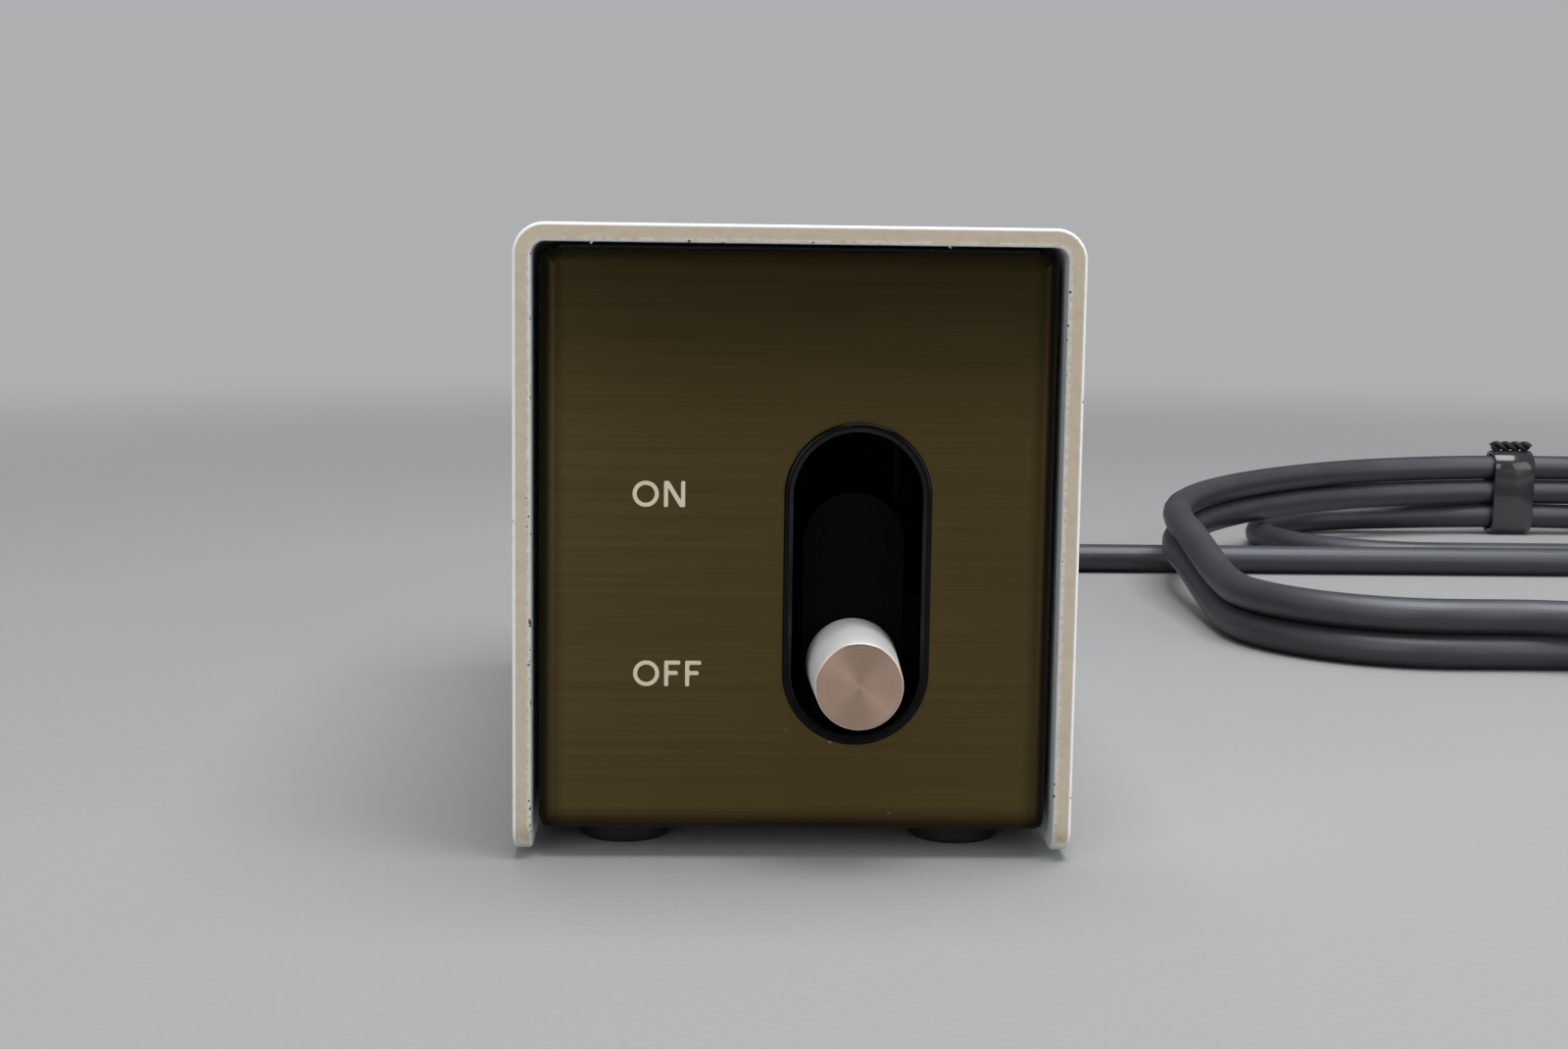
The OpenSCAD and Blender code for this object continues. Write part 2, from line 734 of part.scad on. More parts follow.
module frame_ear(z) {
    translate([selector_x - frame_x, flange_back, z]) cube([2 * frame_x, frame_back - flange_back, frame_t]);
}

module switch_frame() {
    color(steel) seat() difference() {
        union() {
            frame_ear(frame_low);
            frame_ear(frame_high - frame_t);
            translate([selector_x - frame_x, board_back, frame_low]) cube([2 * frame_x, frame_t, frame_h]);
            translate([selector_x + frame_wall_x, carrier_front - 2, frame_low])
                cube([frame_t, frame_back - carrier_front + 2, frame_h]);
            for (s = [-1, 1]) for (z = tab_z) translate([selector_x + s * tab_x, flange_back, z])
                translate([-tab_w / 2, 0, -tab_h / 2]) cube([tab_w, frame_t, tab_h]);
        }
        slab(board_back - 1, frame_back + 1) translate([selector_x, selector_z])
            square([2 * carrier_x, travel + 10], center = true);
        translate([selector_x - shutter_w / 2 - pass_gap, knob_root - pass_gap, frame_low - 1])
            cube([shutter_w + 2 * pass_gap, shutter_t + 2 * pass_gap, frame_h + 2]);
        for (s = [-1, 1]) {
            translate([selector_x + s * rod_x, rod_y, frame_low - 1])
                cylinder(h = frame_h + 2, d = rod_d + 2 * run_gap);
            x = selector_x + s * tab_x;
            for (z = tab_z) rod_along_y(x, z, flange_back - 1, flange_back + frame_t + 1, shank_hole_d);
        }
        for (z = [knob_z, knob_z + travel]) translate([selector_x + frame_wall_x - 1, ball_y, z])
            rotate([0, 90, 0]) cylinder(h = frame_t + 2, d = detent_hole_d);
    }
}

rows = [selector_z - travel / 2, selector_z, selector_z + travel / 2];

module contact_places() {
    for (p = poles) for (z = rows) translate([selector_x + p * pole_pitch, board_front, z]) children();
}

module switch_board() {
    x = frame_wall_x - 1;
    color(phenolic) seat() difference() {
        slab(board_front, board_back) translate([selector_x - x, frame_low + frame_t])
            square([2 * x, frame_h - 2 * frame_t]);
        contact_places() rotate([-90, 0, 0]) translate([0, 0, -1])
            cylinder(h = board_t + 2, d = rivet_d - 0.8 + 2 * hole_gap);
    }
}

module fixed_contacts() {
    color(brass) seat() contact_places() rotate([-90, 0, 0]) {
        translate([0, 0, -rivet_h]) cylinder(h = rivet_h, d = rivet_d);
        cylinder(h = board_t, d = rivet_d - 0.8);
        translate([0, 0, board_t]) cylinder(h = tail_pin_len, d = tail_pin_d);
    }
}

module switch_screws() {
    color(steel) seat() for (s = [-1, 1]) for (z = tab_z)
        translate([selector_x + s * tab_x, flange_back + frame_t, z]) rotate([-90, 0, 0])
            pan_screw(frame_t + chassis_t - hole_gap);
}

// Transformers

module can_screw_places() {
    for (x = [-can_x, can_x]) for (y = [-can_screw_y, can_screw_y]) translate([x, can_y + y, 0]) children();
}

module can(side) {
    color(steel) seat() difference() {
        union() {
            translate([side * can_x, can_y, plate_top]) cylinder(h = can_h, d = can_d);
            translate([side * can_x - can_d / 2, can_y - can_foot_len / 2, plate_top])
                cube([can_d, can_foot_len, can_foot_t]);
        }
        translate([side * can_x, can_y, plate_top - 1])
            cylinder(h = can_h - can_wall + 1, d = can_d - 2 * can_wall);
        can_screw_places() translate([0, 0, plate_top - 1]) cylinder(h = can_foot_t + 2, d = shank_hole_d);
    }
}

module core(side) {
    color([0.35, 0.36, 0.38]) seat() translate([side * can_x, can_y, plate_top]) difference() {
        translate([-core_w / 2, -core_stack / 2, 0]) cube([core_w, core_stack, core_h]);
        for (s = [-1, 1]) translate([s * (leg_share + window_w) / 2 - window_w / 2, -core_stack, yoke_t])
            cube([window_w, 2 * core_stack, window_h]);
    }
}

// A rectangular ring round the core's middle leg
module leg_ring(side, low, high, in_x, in_y, thick) {
    translate([side * can_x, can_y, plate_top + yoke_t + low]) linear_extrude(high - low) difference() {
        square([in_x + 2 * thick, in_y + 2 * thick], center = true);
        square([in_x, in_y], center = true);
    }
}

bobbin_h = window_h - bobbin_gap;
winding_low = bobbin_wall;
winding_high = bobbin_h - bobbin_wall;

module bobbin(side) {
    cheek = winding_room + bobbin_wall;
    color([0.85, 0.82, 0.70]) seat() {
        leg_ring(side, 0, bobbin_h, bobbin_in_x, bobbin_in_y, bobbin_wall);
        leg_ring(side, 0, bobbin_wall, bobbin_in_x, bobbin_in_y, cheek);
        leg_ring(side, bobbin_h - bobbin_wall, bobbin_h, bobbin_in_x, bobbin_in_y, cheek);
    }
}

module primary(side) {
    color(copper) seat() leg_ring(side, winding_low, winding_high,
        bobbin_in_x + 2 * bobbin_wall, bobbin_in_y + 2 * bobbin_wall, winding_t);
}

module secondary(side) {
    under = bobbin_wall + winding_t;
    color([0.60, 0.30, 0.14]) seat() leg_ring(side, winding_low, winding_high,
        bobbin_in_x + 2 * under, bobbin_in_y + 2 * under, winding_t);
}

module can_left() { can(-1); }
module can_right() { can(1); }
module core_left() { core(-1); }
module core_right() { core(1); }
module bobbin_left() { bobbin(-1); }
module bobbin_right() { bobbin(1); }
module primary_left() { primary(-1); }
module primary_right() { primary(1); }
module secondary_left() { secondary(-1); }
module secondary_right() { secondary(1); }

module can_screws() {
    color(steel) seat() can_screw_places() translate([0, 0, plate_top + can_foot_t])
        pan_screw(can_foot_t + chassis_t);
}

// Rear connectors

jack_mouth = rear_face + jack_flange_t + jack_barrel_len;
jack_in_d = jack_barrel_d - 2 * jack_wall;
contact_d = jack_socket_d + 2 * contact_wall;

module jack_shell(side) {
    color(alloy) seat() difference() {
        union() {
            rod_along_y(side * jack_x, jack_z, rear_face, rear_face + jack_flange_t, jack_flange_d);
            rod_along_y(side * jack_x, jack_z, rear_face, jack_mouth, jack_barrel_d);
            rod_along_y(side * jack_x, jack_z, rear_inner - jack_stem_len, rear_face, jack_stem_d);
        }
        rod_along_y(side * jack_x, jack_z, rear_inner - jack_stem_len - 1, jack_mouth + 1, jack_in_d);
    }
}

module jack_insulator(side) {
    x = side * jack_x;
    back = rear_inner - jack_stem_len;
    color(side < 0 ? [0.85, 0.84, 0.80] : [0.55, 0.06, 0.05]) seat() difference() {
        rod_along_y(x, jack_z, back, jack_mouth - jack_face_drop, jack_in_d - 2 * run_gap);
        rod_along_y(x, jack_z, back - 1, jack_mouth, contact_d + 2 * run_gap);
    }
}

module jack_contact(side) {
    back = rear_inner - jack_stem_len;
    color(brass) seat() difference() {
        union() {
            rod_along_y(side * jack_x, jack_z, back, jack_mouth - jack_face_drop, contact_d);
            rod_along_y(side * jack_x, jack_z, back - jack_tail_len, back, wire_d);
        }
        rod_along_y(side * jack_x, jack_z, rear_inner, jack_mouth, jack_socket_d);
    }
}

module jack_shell_left() { jack_shell(-1); }
module jack_shell_right() { jack_shell(1); }
module jack_insulator_left() { jack_insulator(-1); }
module jack_insulator_right() { jack_insulator(1); }
module jack_contact_left() { jack_contact(-1); }
module jack_contact_right() { jack_contact(1); }

module jack_nuts() {
    color(steel) seat() for (s = [-1, 1]) difference() {
        translate([s * jack_x, rear_inner, jack_z]) rotate([90, 0, 0])
            cylinder(h = jack_nut_t, d = jack_nut_w / cos(30), $fn = 6);
        hole_d = jack_stem_d + 2 * hole_gap;
        rod_along_y(s * jack_x, jack_z, rear_inner - jack_nut_t - 1, rear_inner + 1, hole_d);
    }
}

module ground_post() {
    color(alloy) seat() {
        rod_along_y(-post_x, post_z, rear_face, rear_face + post_flange_t, post_flange_d);
        rod_along_y(-post_x, post_z, rear_inner - 5, rear_face + post_len, post_d);
        rod_along_y(-post_x, post_z, rear_inner - 2, rear_inner, post_d + 3);
    }
}

module ground_nut() {
    start = rear_face + post_flange_t + nut_gap;
    color(alloy) seat() difference() {
        rod_along_y(-post_x, post_z, start, start + nut_len, nut_d);
        rod_along_y(-post_x, post_z, start - 1, start + nut_len + 1, post_d + 2 * run_gap);
        for (k = [0:flutes - 1]) translate([-post_x, start - 1, post_z]) rotate([-90, 360 * k / flutes, 0])
            translate([nut_d / 2 + 0.15, 0, 0]) cylinder(h = nut_len + 2, d = 0.9, $fn = 16);
    }
}

module cable_bush() {
    color(rubber) seat() {
        rod_along_y(bush_x, bush_z, rear_face, rear_face + bush_flange_t, bush_flange_d);
        rod_along_y(bush_x, bush_z, rear_inner - bush_stem_len, rear_face, bush_stem_d);
        translate([bush_x, rear_face + bush_flange_t, bush_z]) rotate([-90, 0, 0])
            cylinder(h = bush_len, d1 = bush_root_d, d2 = bush_tip_d);
    }
}

// Inside wiring

jack_tail_y = rear_inner - jack_stem_len - jack_tail_len;
terminal_y = board_back + tail_pin_len;

module input_wires() {
    color([0.65, 0.12, 0.10]) seat() for (s = [-1, 1]) {
        x = selector_x + s * 1.5 * pole_pitch;
        z = rows[2];
        tube([
            [s * jack_x, jack_tail_y, jack_z], [s * jack_x, jack_tail_y - 4, jack_z],
            [s * jack_x, jack_tail_y - 12, (jack_z + wire_high) / 2],
            [s * jack_x, jack_tail_y - 22, wire_high],
            [s * jack_x, can_y, wire_high], [x, terminal_y + 20, wire_high],
            [x, terminal_y + 10, (z + wire_high) / 2], [x, terminal_y + 4, z], [x, terminal_y, z]
        ], wire_d / 2, wire_sides);
    }
}

module output_wires() {
    bush_inner = rear_inner - bush_stem_len;
    color([0.15, 0.30, 0.55]) seat() for (s = [-1, 1]) {
        x = selector_x + s * 0.5 * pole_pitch;
        z = rows[0];
        level = wire_low + (1 + s) * 3;
        tube([
            [x, terminal_y, z], [x, terminal_y + 4, z], [(x + s) / 2, terminal_y + 11, (z + level) / 2 + 2],
            [0, terminal_y + 20, level], [0, can_y, level], [0, can_y + can_foot_len / 2 + 6, level],
            [bush_x * 0.5 + s, bush_inner - 16, (level + bush_z) / 2],
            [bush_x + s * 2, bush_inner - 5, bush_z],
            [bush_x + s * 2, bush_inner, bush_z]
        ], wire_d / 2, wire_sides);
    }
}

// Output lead

module from_exit() {
    translate([bush_x, exit_y, 0]) children();
}

module output_lead() {
    color(rubber) seat() from_exit() tube(lead_points, cord_r, cord_sides);
}

// A quarter of a loop runs along X from an end of the loop, round one bend, and along Y to its widest place
function side_of(d) = d < 0 ? -1 : 1;
function bend_r(end, wide) = min(abs(wide.x - end.x), abs(wide.y - end.y));
function quarter_len(end, wide) =
    let (r = bend_r(end, wide)) abs(wide.x - end.x) + abs(wide.y - end.y) - 2 * r + r * PI / 2;

// A place on such a quarter, u of its way from the end of the loop
function quarter_place(end, wide, u) =
    let (r = bend_r(end, wide), s = u * quarter_len(end, wide), before = abs(wide.x - end.x) - r)
    let (bent = max(0, min(r * PI / 2, s - before)), after = max(0, s - before - bent))
    let (a = bent / r * 180 / PI)
    [end.x + side_of(wide.x - end.x) * (min(s, before) + r * sin(a)),
        end.y + side_of(wide.y - end.y) * (r * (1 - cos(a)) + after)];

// A place on the coil after t half loops, counted from the mouth of the bush
function coil_place(t) =
    let (k = min(floor(t), len(coil_halves) - 1), f = t - k, half = coil_halves[k])
    let (to_rear = k % 2 == 0, first = f < 0.5)
    let (end = to_rear == first ? half[1] : coil_rear, u = first ? 2 * f : 2 - 2 * f)
    concat(quarter_place(end, half[0], u), [coil_level(t)]);

// Height of the lead's middle: its layer, and a little more at the tie
function coil_level(t) =
    cord_r
    + layer * ([for (c = coil_climbs) c[2]] * [for (c = coil_climbs) ease((t - c[0]) / c[1])])
    + tie_lift * max([for (at = tie_at) hump((t - at) / tie_half)]);

// A place on the coil's end, u of its run past the last half loop
function end_place(u) =
    let (down = ease((u - 0.45) / 0.55))
    [large_front.x + end_run * u, large_front.y - end_out * ease((u - 0.2) / 0.8),
        cord_r + layer * (1 - down) + end_lift * down];

coil_steps = coil_half_rings * len(coil_halves);
coil_bow = concat(
    [for (i = [0:coil_steps]) coil_place(i / coil_half_rings)],
    [for (u = [0.25:0.25:1]) end_place(u)]
);
coil_last = coil_bow[len(coil_bow) - 1];
coil_before = coil_bow[len(coil_bow) - 2];
coil_way = unit([coil_last.x - coil_before.x, coil_last.y - coil_before.y, 0]);
coil_end = coil_last + cord_d * coil_way;
coil_points = concat([coil_bow[0] - [cord_d, 0, 0]], coil_bow, [coil_end]);

// Least gaps, on points at thirds of the coil's steps: to itself over a third of a loop away, and to the lead
coil_fine = [for (i = [0:len(coil_points) - 2]) for (k = [0:2])
    coil_points[i] + (coil_points[i + 1] - coil_points[i]) * k / 3];
coil_apart = 2 * coil_half_rings;
coil_gap = min([for (i = [0:len(coil_fine) - 1]) for (j = [i + coil_apart:1:len(coil_fine) - 1])
    norm(coil_fine[i] - coil_fine[j])]) - cord_d;
lead_gap = min([for (j = [coil_apart:len(coil_fine) - 1]) for (i = [0:len(lead_points) - 2]) for (k = [0:5])
    norm(coil_fine[j] - lead_points[i] - (lead_points[i + 1] - lead_points[i]) * k / 6)]) - cord_d;
echo(least_gap_of_the_coil_to_itself = coil_gap, least_gap_to_the_lead = lead_gap);

module output_coil() {
    color(rubber) seat() from_exit() tube(coil_points, cord_r, coil_sides);
}

// A strap round the stack of rear runs, with its two ends twisted together and laid along the lead on top
module cord_tie() {
    low = coil_place(tie_at[0]);
    high = coil_place(tie_at[2]);
    middle = (low + high) / 2;
    span = high.z - low.z;
    hole = cord_d + 2 * tie_gap;
    color([0.75, 0.75, 0.76]) seat() from_exit() translate([low.x, middle.y, middle.z]) {
        rotate([90, 0, 90]) translate([0, 0, -tie_w / 2]) linear_extrude(tie_w) difference() {
            oval(hole + 2 * tie_t, span + hole + 2 * tie_t);
            oval(hole, span + hole);
        }
        translate([0, 0, (span + hole) / 2 + tie_t + tie_ends_d / 2 - 0.4]) rotate([0, 90, 0])
            cylinder(h = tie_ends_len, d = tie_ends_d, center = true);
    }
}

// Everything beyond the jacket's end is laid out along X and turned into the lead's own direction
module from_coil_end() {
    from_exit() translate([coil_end.x, coil_end.y, 0]) rotate(atan2(coil_way.y, coil_way.x)) children();
}

module lying(x0, x1, y, z, d0, d1) {
    translate([x0, y, z]) rotate([0, 90, 0]) cylinder(h = x1 - x0, d1 = d0, d2 = d1);
}

module split_sleeve() {
    color(rubber) seat() from_coil_end() lying(0, sleeve_len, 0, coil_end.z, cord_d + 1, sleeve_d);
}

module tail(side) {
    color(rubber) seat() from_coil_end()
        tube([for (p = tail_points) [p.x, side * p.y, p.z]], tail_d / 2, tail_sides);
}

module plug_shell(side) {
    mouth = shell_start + shell_len;
    y = side * plug_side;
    color([0.20, 0.20, 0.21]) seat() from_coil_end() difference() {
        union() {
            lying(boot_start, shell_start, y, plug_z, boot_tip_d, plug_d - 1);
            lying(shell_start, mouth, y, plug_z, plug_d, plug_d);
        }
        lying(mouth - ring_seat, mouth + 1, y, plug_z, ring_d, ring_d);
    }
}

module plug_contact(side) {
    mouth = shell_start + shell_len;
    base = mouth - ring_seat;
    pin_end = mouth + pin_len;
    y = side * plug_side;
    out_d = ring_d - 2 * run_gap;
    in_d = ring_d - 2 * ring_wall;
    color(alloy) seat() from_coil_end() {
        difference() {
            lying(base, mouth + ring_len, y, plug_z, out_d, out_d);
            lying(base + ring_seat / 2, mouth + ring_len + 1, y, plug_z, in_d, in_d);
        }
        lying(base + 1, pin_end - 1, y, plug_z, pin_d, pin_d);
        lying(pin_end - 1, pin_end, y, plug_z, pin_d, pin_d / 2);
    }
}

module tail_left() { tail(1); }
module tail_right() { tail(-1); }
module plug_shell_left() { plug_shell(1); }
module plug_shell_right() { plug_shell(-1); }
module plug_contact_left() { plug_contact(1); }
module plug_contact_right() { plug_contact(-1); }

top_cover();
chassis();
front_panel();
rear_panel();
foot_front_left();
foot_front_right();
foot_rear_left();
foot_rear_right();
foot_screws();
cover_screws();
front_panel_screws();
rear_panel_screws();
escutcheon();
knob();
knob_shaft();
slide_shutter();
contact_carrier();
wiper_contacts();
guide_rod_left();
guide_rod_right();
detent_ball();
detent_spring();
switch_frame();
switch_board();
fixed_contacts();
switch_screws();
can_left();
can_right();
core_left();
core_right();
bobbin_left();
bobbin_right();
primary_left();
primary_right();
secondary_left();
secondary_right();
can_screws();
jack_shell_left();
jack_shell_right();
jack_insulator_left();
jack_insulator_right();
jack_contact_left();
jack_contact_right();
jack_nuts();
ground_post();
ground_nut();
cable_bush();
input_wires();
output_wires();
output_lead();
output_coil();
cord_tie();
split_sleeve();
tail_left();
tail_right();
plug_shell_left();
plug_shell_right();
plug_contact_left();
plug_contact_right();
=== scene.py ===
import math

import bmesh
import bpy
from mathutils import Matrix, Vector


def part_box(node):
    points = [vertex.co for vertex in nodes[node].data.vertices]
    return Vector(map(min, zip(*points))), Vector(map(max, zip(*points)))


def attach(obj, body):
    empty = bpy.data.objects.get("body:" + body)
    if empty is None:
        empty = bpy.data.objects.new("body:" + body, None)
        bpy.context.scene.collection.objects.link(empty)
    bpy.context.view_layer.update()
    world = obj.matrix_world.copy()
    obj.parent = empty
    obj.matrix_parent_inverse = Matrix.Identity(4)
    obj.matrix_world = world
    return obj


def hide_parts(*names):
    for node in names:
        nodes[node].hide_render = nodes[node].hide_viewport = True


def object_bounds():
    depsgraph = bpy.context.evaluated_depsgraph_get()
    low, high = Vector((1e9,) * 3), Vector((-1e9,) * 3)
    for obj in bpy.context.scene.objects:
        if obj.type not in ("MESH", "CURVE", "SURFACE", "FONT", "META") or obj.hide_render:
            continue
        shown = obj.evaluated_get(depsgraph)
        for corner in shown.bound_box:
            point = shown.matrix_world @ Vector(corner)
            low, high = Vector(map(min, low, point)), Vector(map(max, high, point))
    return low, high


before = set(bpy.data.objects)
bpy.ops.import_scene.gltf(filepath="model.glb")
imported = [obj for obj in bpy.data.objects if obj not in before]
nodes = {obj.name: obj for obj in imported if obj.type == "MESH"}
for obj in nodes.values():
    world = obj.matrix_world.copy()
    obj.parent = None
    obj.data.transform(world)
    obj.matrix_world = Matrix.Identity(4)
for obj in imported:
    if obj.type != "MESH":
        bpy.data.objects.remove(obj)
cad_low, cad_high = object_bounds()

# A moving coil step-up transformer: its finishes, its words, its output lead and a plain studio.
# Metres, in the frame of the solids: X to the right, Y to the back, Z up, with the feet on Z = 0.

scene = bpy.context.scene

# Camera, solved from the box's corners in the photograph's frame, which is 1600 pixels wide

IMAGE_W = 1600
FOCAL_PX = 2300
SENSOR_W = 36.0
NEAR_CLIP = 0.01
CAMERA_AT = Vector((-0.01257, -0.38219, 0.08684))
PITCH = math.radians(7.32)
YAW = math.radians(2.01)
ROLL = math.radians(0.79)


def make_camera():
    forward = Vector((math.sin(YAW) * math.cos(PITCH), math.cos(YAW) * math.cos(PITCH), -math.sin(PITCH)))
    level = Vector((math.cos(YAW), -math.sin(YAW), 0))
    upright = level.cross(forward)
    right = math.cos(ROLL) * level + math.sin(ROLL) * upright
    up = math.cos(ROLL) * upright - math.sin(ROLL) * level
    data = bpy.data.cameras.new("camera")
    data.sensor_width = SENSOR_W
    data.lens = FOCAL_PX / IMAGE_W * SENSOR_W
    data.clip_start = NEAR_CLIP
    camera = bpy.data.objects.new("camera", data)
    turn = Matrix((right, up, -forward)).transposed().to_4x4()
    camera.matrix_world = Matrix.Translation(CAMERA_AT) @ turn
    scene.collection.objects.link(camera)
    scene.camera = camera


make_camera()

# Finishes


def srgb(red, green, blue):
    """A colour of 0 to 255 as the linear colour that a shader takes."""
    def linear(c):
        c /= 255
        return c / 12.92 if c <= 0.04045 else ((c + 0.055) / 1.055) ** 2.4
    return (linear(red), linear(green), linear(blue), 1)


def shade(colour, factor):
    return tuple(c * factor for c in colour[:3]) + (1,)


class Finish:
    """A material round one Principled shader, with short names for the nodes that feed it."""

    def __init__(self, name, **sockets):
        self.material = bpy.data.materials.new(name)
        self.material.use_nodes = True
        self.tree = self.material.node_tree
        self.shader = self.tree.nodes["Principled BSDF"]
        self.place = self.node("TexCoord").outputs["Object"]
        for label, value in sockets.items():
            self.feed(label.replace("_", " "), value)

    def put(self, socket, value):
        """Links a socket to a node's output, or sets it to a plain value."""
        if isinstance(value, bpy.types.NodeSocket):
            self.tree.links.new(value, socket)
        else:
            socket.default_value = value

    def feed(self, label, value):
        self.put(self.shader.inputs[label], value)

    def colour(self, value):
        self.feed("Base Color", value)

    def roughness(self, value):
        self.feed("Roughness", value)

    def node(self, kind, inputs=(), **settings):
        made = self.tree.nodes.new("ShaderNode" + kind)
        for key, value in settings.items():
            setattr(made, key, value)
        for key, value in dict(inputs).items():
            self.put(made.inputs[key], value)
        return made

    def axes(self):
        """The place's X, Y and Z."""
        return list(self.node("SeparateXYZ", {0: self.place}).outputs)

    def facing(self, normal, axis):
        """How far one of the surface's normals points along an axis: 0 for X, 1 for Y, 2 for Z."""
        towards = self.node("NewGeometry").outputs[normal]
        return self.node("SeparateXYZ", {0: towards}).outputs[axis]

    def brush_round(self, axis):
        """Lays the stretched gloss in circles round an axis."""
        self.feed("Tangent", self.node("Tangent", direction_type="RADIAL", axis=axis).outputs[0])

    def noise(self, size, detail=3.0, stretch=(1, 1, 1)):
        """Noise whose grains are about size metres, longer by stretch along each axis."""
        scale = [1 / (size * s) for s in stretch]
        moved = self.node("Mapping", {"Vector": self.place, "Scale": scale}).outputs[0]
        return self.node("TexNoise", {"Vector": moved, "Scale": 1.0, "Detail": detail}).outputs[0]

    def specks(self, pitch, size, core=0.3):
        """Small spots, 1 within their core, one in each cell of pitch metres."""
        scale = {"Vector": self.place, "Scale": 1 / pitch}
        distance = self.node("TexVoronoi", scale).outputs["Distance"]
        return self.ease(distance, size / pitch, core * size / pitch)

    def ease(self, value, start, end, low=0.0, high=1.0):
        """A smooth step from low at start to high at end."""
        inputs = {"Value": value, "From Min": start, "From Max": end, "To Min": low, "To Max": high}
        return self.node("MapRange", inputs, interpolation_type="SMOOTHSTEP").outputs[0]

    def math(self, operation, first, second=0.0):
        return self.node("Math", {0: first, 1: second}, operation=operation).outputs[0]

    def plus(self, first, second):
        return self.math("ADD", first, second)

    def minus(self, first, second):
        return self.math("SUBTRACT", first, second)

    def times(self, first, second):
        return self.math("MULTIPLY", first, second)

    def magnitude(self, value):
        return self.math("ABSOLUTE", value)

    def past(self, value, limit):
        """How far value lies past limit, or 0."""
        return self.math("MAXIMUM", self.minus(value, limit), 0.0)

    def length(self, first, second):
        both = self.node("CombineXYZ", {0: first, 1: second}).outputs[0]
        return self.node("VectorMath", {0: both}, operation="LENGTH").outputs["Value"]

    def blend(self, share, first, second):
        return self.node("Mix", {0: share, 6: first, 7: second}, data_type="RGBA").outputs[2]

    def bump(self, *layers):
        """Adds up (height, depth in metres) layers."""
        normal = None
        for height, depth in layers:
            inputs = {"Height": height, "Distance": depth}
            if normal:
                inputs["Normal"] = normal
            normal = self.node("Bump", inputs).outputs[0]
        self.feed("Normal", normal)


# Windows of a smooth step: the values that one noise mostly takes, those of two noises added up,
# and those of a cloud where dust gathers
NOISE_SPAN = (0.3, 0.7)
SUM_SPAN = (0.6, 1.4)
DUST_SPAN = (0.5, 0.65)
DUST = srgb(150, 148, 142)
# How far apart a wave texture's bands lie at a scale of 1
WAVE_PERIOD = 0.314


def moulded(name, colour, rough, **sockets):
    """Plastic or rubber: a fine grain, cloudy dull patches and a little dust."""
    finish = Finish(name, **sockets)
    cloud = finish.noise(size=0.012)
    fine = finish.noise(size=0.0004, detail=2.0)
    dust = finish.times(finish.specks(pitch=0.006, size=0.0004), finish.ease(cloud, *DUST_SPAN))
    tone = finish.blend(cloud, shade(colour, 0.8), shade(colour, 1.2))
    finish.colour(finish.blend(finish.times(dust, 0.35), tone, DUST))
    finish.roughness(finish.ease(finish.plus(cloud, fine), *SUM_SPAN, rough - 0.07, rough + 0.09))
    finish.bump((fine, 0.00002))
    return finish.material


def brushed(finish, colour, along, rough):
    """Streaks drawn along one axis and faint stains: sets the roughness and bump, and gives the tone."""
    streak = finish.noise(size=0.0005, stretch=along)
    stain = finish.noise(size=0.02, detail=4.0)
    finish.roughness(finish.ease(finish.plus(streak, stain), *SUM_SPAN, *rough))
    finish.bump((streak, 0.000008))
    tone = finish.blend(streak, shade(colour, 0.85), shade(colour, 1.1))
    return finish.blend(finish.ease(stain, 0.55, 0.75, high=0.35), tone, shade(colour, 0.6))


def sheet_metal(name, colour, rough, along):
    """Plated or brushed metal."""
    finish = Finish(name, Metallic=1.0)
    finish.colour(brushed(finish, colour, along, (rough - 0.08, rough + 0.12)))
    return finish.material


def painted(name, colour, rough, peel, depth):
    """Sprayed enamel with an orange-peel skin of that size and depth."""
    finish = Finish(name)
    cloud = finish.noise(size=0.03)
    skin = finish.noise(size=peel, detail=2.0)
    finish.colour(finish.blend(cloud, shade(colour, 0.9), shade(colour, 1.1)))
    finish.roughness(finish.ease(cloud, *NOISE_SPAN, rough - 0.06, rough + 0.08))
    finish.bump((skin, depth))
    return finish.material


def layered(name, light, dark, step, axis, rough, **sockets):
    """Thin layers on each other along one axis: laminations, or turns of fine wire."""
    finish = Finish(name, **sockets)
    waves = {"Vector": finish.place, "Scale": WAVE_PERIOD / step, "Distortion": 0.4}
    wave = finish.node("TexWave", waves, wave_type="BANDS", bands_direction=axis).outputs[1]
    cloud = finish.noise(size=0.006)
    finish.colour(finish.blend(finish.times(wave, cloud), dark, light))
    finish.roughness(finish.ease(cloud, *NOISE_SPAN, rough - 0.08, rough + 0.08))
    finish.bump((wave, step / 6))
    return finish.material


# Cover: pale enamel, worn to a darker tone on its cut edges, with a highlight painted along the outer rim of
# its cut ends, over a pale cool primer on the inner faces

COVER_LOW, COVER_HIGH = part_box("top_cover")
ENAMEL = srgb(222, 218, 208)
CUT_EDGE = srgb(200, 187, 168)
CUT_EDGE_DULL = srgb(184, 168, 148)
# A painted highlight along the outer rim of the cut ends
RIM_HIGHLIGHT = srgb(255, 255, 252)
GRIME = srgb(150, 131, 108)
LIP = srgb(238, 232, 221)
CHIP = srgb(78, 58, 44)
PRIMER = srgb(220, 225, 225)
SHEET_T = 0.0026
INNER_BEND_R = 0.0018
# Bands of a smooth step: behind a cut end, outwards from the sheet's inner face, and above the cover's foot
CUT_BAND = (0.0012, 0.0001)
PRIMER_BAND = (0.0004, 0.0001)
LIP_BAND = (0.0008, 0.0004)
INNER_RIM_BAND = (0.0011, 0.0)
FACE_BAND = (SHEET_T - 0.0003, SHEET_T - 0.0006)
RIM_HIGHLIGHT_BAND = (SHEET_T - 0.0006, SHEET_T - 0.0002)
FOOT_BAND = (COVER_LOW.z + 0.006, COVER_LOW.z + 0.001)
CHIP_STEP = (0.975, 1.015)


